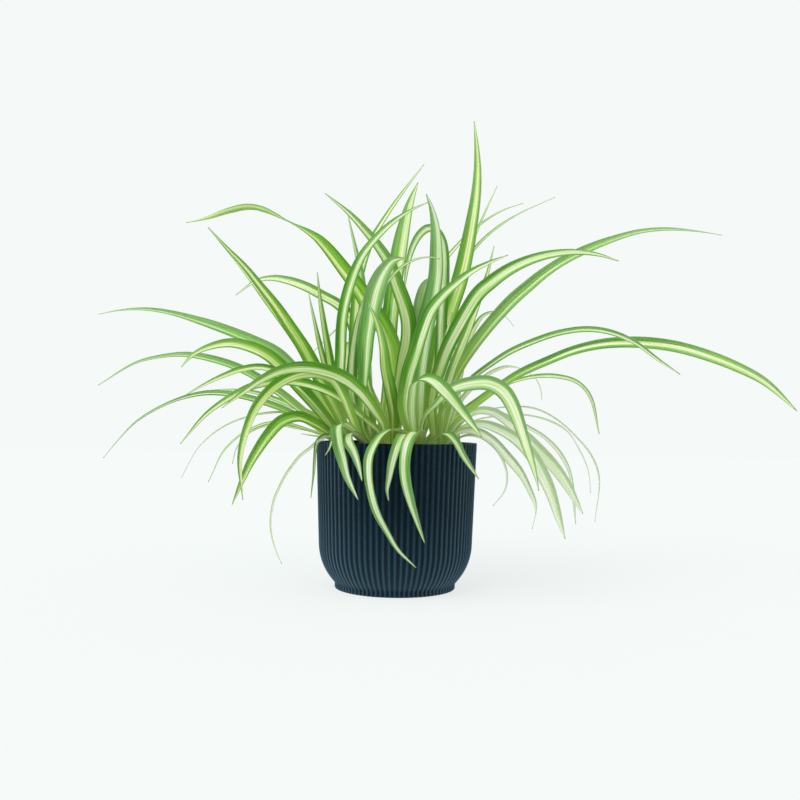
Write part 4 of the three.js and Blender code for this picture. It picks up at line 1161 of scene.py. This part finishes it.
upper_side = leaf_material("leaf_upper_side", 0.0, "c9dba6", 0.42)
underside = leaf_material("leaf_underside", 0.3, "c9dba6", 0.6)
print("leaf finishes:", upper_side.name, "and", underside.name)

# %% [markdown]
# ## The rosettes
#
# A rosette's leaves are joined into one piece, as they grow from one rootstock. A Solidify modifier gives
# the paper-thin sheets their thickness, downwards, and puts the second material on the underside. At last
# the piece gets a second UV map with a strip for each side of each leaf. Painting the finish into
# an image needs such a map, in which nothing lies on top of anything else. Blender could unwrap the piece
# by itself, but it would cut the long blades anywhere.

# %% A map with a strip for each side of a leaf
SIDE_MARGIN, END_MARGIN = 0.05, 0.01
LEFT_RIM, RIGHT_RIM, RIM_STRIP = 0.01, 0.97, 0.02
END_STRIP = 0.004


def map_strips(piece, count, upper_vertices):
    """A UV map with one strip for each leaf's upper side and one for its underside."""
    mesh = piece.data
    number = np.empty(len(mesh.vertices))
    mesh.attributes["leaf_number"].data.foreach_get("value", number)
    corners = np.empty(len(mesh.loops), dtype=int)
    mesh.loops.foreach_get("vertex_index", corners)
    blade_uv = np.empty(len(mesh.loops) * 2)
    mesh.uv_layers["blade"].data.foreach_get("uv", blade_uv)
    across, along = blade_uv.reshape(-1, 2).T
    spot = np.empty((len(mesh.loops), 2))
    for face in mesh.polygons:
        loops = list(face.loop_indices)
        is_upper = corners[loops] < upper_vertices
        u = SIDE_MARGIN + (1 - 2 * SIDE_MARGIN) * across[loops]
        v = along[loops].copy()
        if is_upper.any() and not is_upper.all():  # a narrow face between the two sides
            if np.ptp(across[loops]) < 0.01:
                u = (LEFT_RIM if across[loops][0] < 0.5 else RIGHT_RIM) + RIM_STRIP * is_upper
            else:
                v = v + np.where(v > 0.5, END_STRIP, -END_STRIP) * ~is_upper
        strip = 2 * number[corners[loops]] + (not is_upper.any())
        spot[loops, 0] = (strip + u) / (2 * count)
        spot[loops, 1] = END_MARGIN + (1 - 2 * END_MARGIN) * v
    layer = mesh.uv_layers.new(name="OFBake")
    layer.data.foreach_set("uv", spot.ravel())


# %% Join, thicken and map each rosette
BLADE_THICKNESS = 0.5 * MM
for rosette, (at, leaves) in ROSETTES.items():
    chosen = zip(leaves, leans[rosette])
    laid = [lay_leaf(one, at, lean, number) for number, (one, lean) in enumerate(chosen)]
    piece = join(laid, rosette.replace("crown", "leaves"))
    piece.data.materials.clear()
    piece.data.materials.append(upper_side)
    piece.data.materials.append(underside)
    upper_vertices = len(piece.data.vertices)
    solidify = piece.modifiers.new("thickness", "SOLIDIFY")
    solidify.thickness = BLADE_THICKNESS
    solidify.offset = -1
    solidify.material_offset = 1
    apply_modifiers(piece)
    bpy.ops.object.shade_smooth_by_angle(angle=math.radians(50))
    map_strips(piece, len(leaves), upper_vertices)
    seat(piece, "leaf", rosette)
bpy.data.objects.remove(blank)

# %% [markdown]
# ## The rootstocks
#
# Each rosette stands on a short, stout rootstock, a pale knob half sunk in the soil. A sphere would be
# too round for it, so it is a cylinder whose top is drawn in and rounded with a bevel. Its skin is patchy
# and dull, and the earth group gives just that with other colours.

# %% Rootstocks
STOCK_RADIUS = 8 * MM
STOCK_DEPTH = 22 * MM
STOCK_TOP = 10 * MM
STOCK_NARROWING = 0.7
STOCK_ROUND = 2.5 * MM
stocks = []
for rosette, (at, _) in ROSETTES.items():
    select_nothing()
    height = STOCK_DEPTH + STOCK_TOP
    middle = (at[0] * MM, at[1] * MM, SOIL_LEVEL + STOCK_TOP - height / 2)
    bpy.ops.mesh.primitive_cylinder_add(vertices=24, radius=STOCK_RADIUS, depth=height, location=middle)
    stock = name_piece("stock")
    bpy.ops.object.transform_apply(location=True, rotation=False, scale=False)
    bpy.ops.object.mode_set(mode="EDIT")
    pick(stock, lambda place: place.z > SOIL_LEVEL)
    narrower = (STOCK_NARROWING, STOCK_NARROWING, 1)
    bpy.ops.transform.resize(value=narrower, center_override=(middle[0], middle[1], 0))
    bpy.ops.mesh.bevel(offset=STOCK_ROUND, segments=4)
    bpy.ops.object.mode_set(mode="OBJECT")
    bpy.ops.object.shade_smooth_by_angle(angle=math.radians(40))
    stocks.append(stock)
rootstocks = join(stocks, "rootstocks")
rootstocks.data.materials.append(earth_material("rootstock_skin", "8f9a55", "cbd098", 400))
seat(rootstocks, "leaf")

# %% [markdown]
# ## Floor and light
#
# The picture is bright and soft, and most of its light comes from the left. Many lamps could give that, but
# a near-white surrounding lights the plant evenly from all sides, and one soft sun gives direction. The
# floor glows a little by itself, so it stays as pale as the surrounding and shadows on it are faint.

# %% The floor
FLOOR_GLOW = 0.79
select_nothing()
bpy.ops.mesh.primitive_plane_add(size=8)
floor = name_piece("floor")
pale_floor, tree, shader = new_material("pale_floor")
fill(tree, shader, {
    "Base Color": shade("767979"),
    "Emission Color": shade("f5f9f8"),
    "Emission Strength": FLOOR_GLOW,
    "Roughness": 0.9,
    "Specular IOR Level": 0.0,
})
floor.data.materials.append(pale_floor)
print("floor glow", FLOOR_GLOW)

# %% Surroundings and daylight
AMBIENT = 0.85
DAYLIGHT = 1.35
DAYLIGHT_SPREAD = 50
DAYLIGHT_FROM = (-0.6, -0.45, 0.9)

world = bpy.data.worlds.new("bright_surrounding")
bpy.context.scene.world = world
world.use_nodes = True
tree = world.node_tree
seen = add_node(tree, "ShaderNodeLightPath").outputs["Is Camera Ray"]
strength = add_node(tree, "ShaderNodeMapRange", {"Value": seen, 3: AMBIENT, 4: 1.0}).outputs[0]
fill(tree, tree.nodes["Background"], {"Color": shade("f5f9f8"), "Strength": strength})

daylight = bpy.data.objects.new("daylight", bpy.data.lights.new("daylight", "SUN"))
bpy.context.scene.collection.objects.link(daylight)
daylight.data.energy = DAYLIGHT
daylight.data.angle = math.radians(DAYLIGHT_SPREAD)
daylight.rotation_euler = Vector(DAYLIGHT_FROM).to_track_quat("Z", "Y").to_euler()
bpy.context.scene.view_settings.view_transform = "Standard"
print("daylight from", DAYLIGHT_FROM)
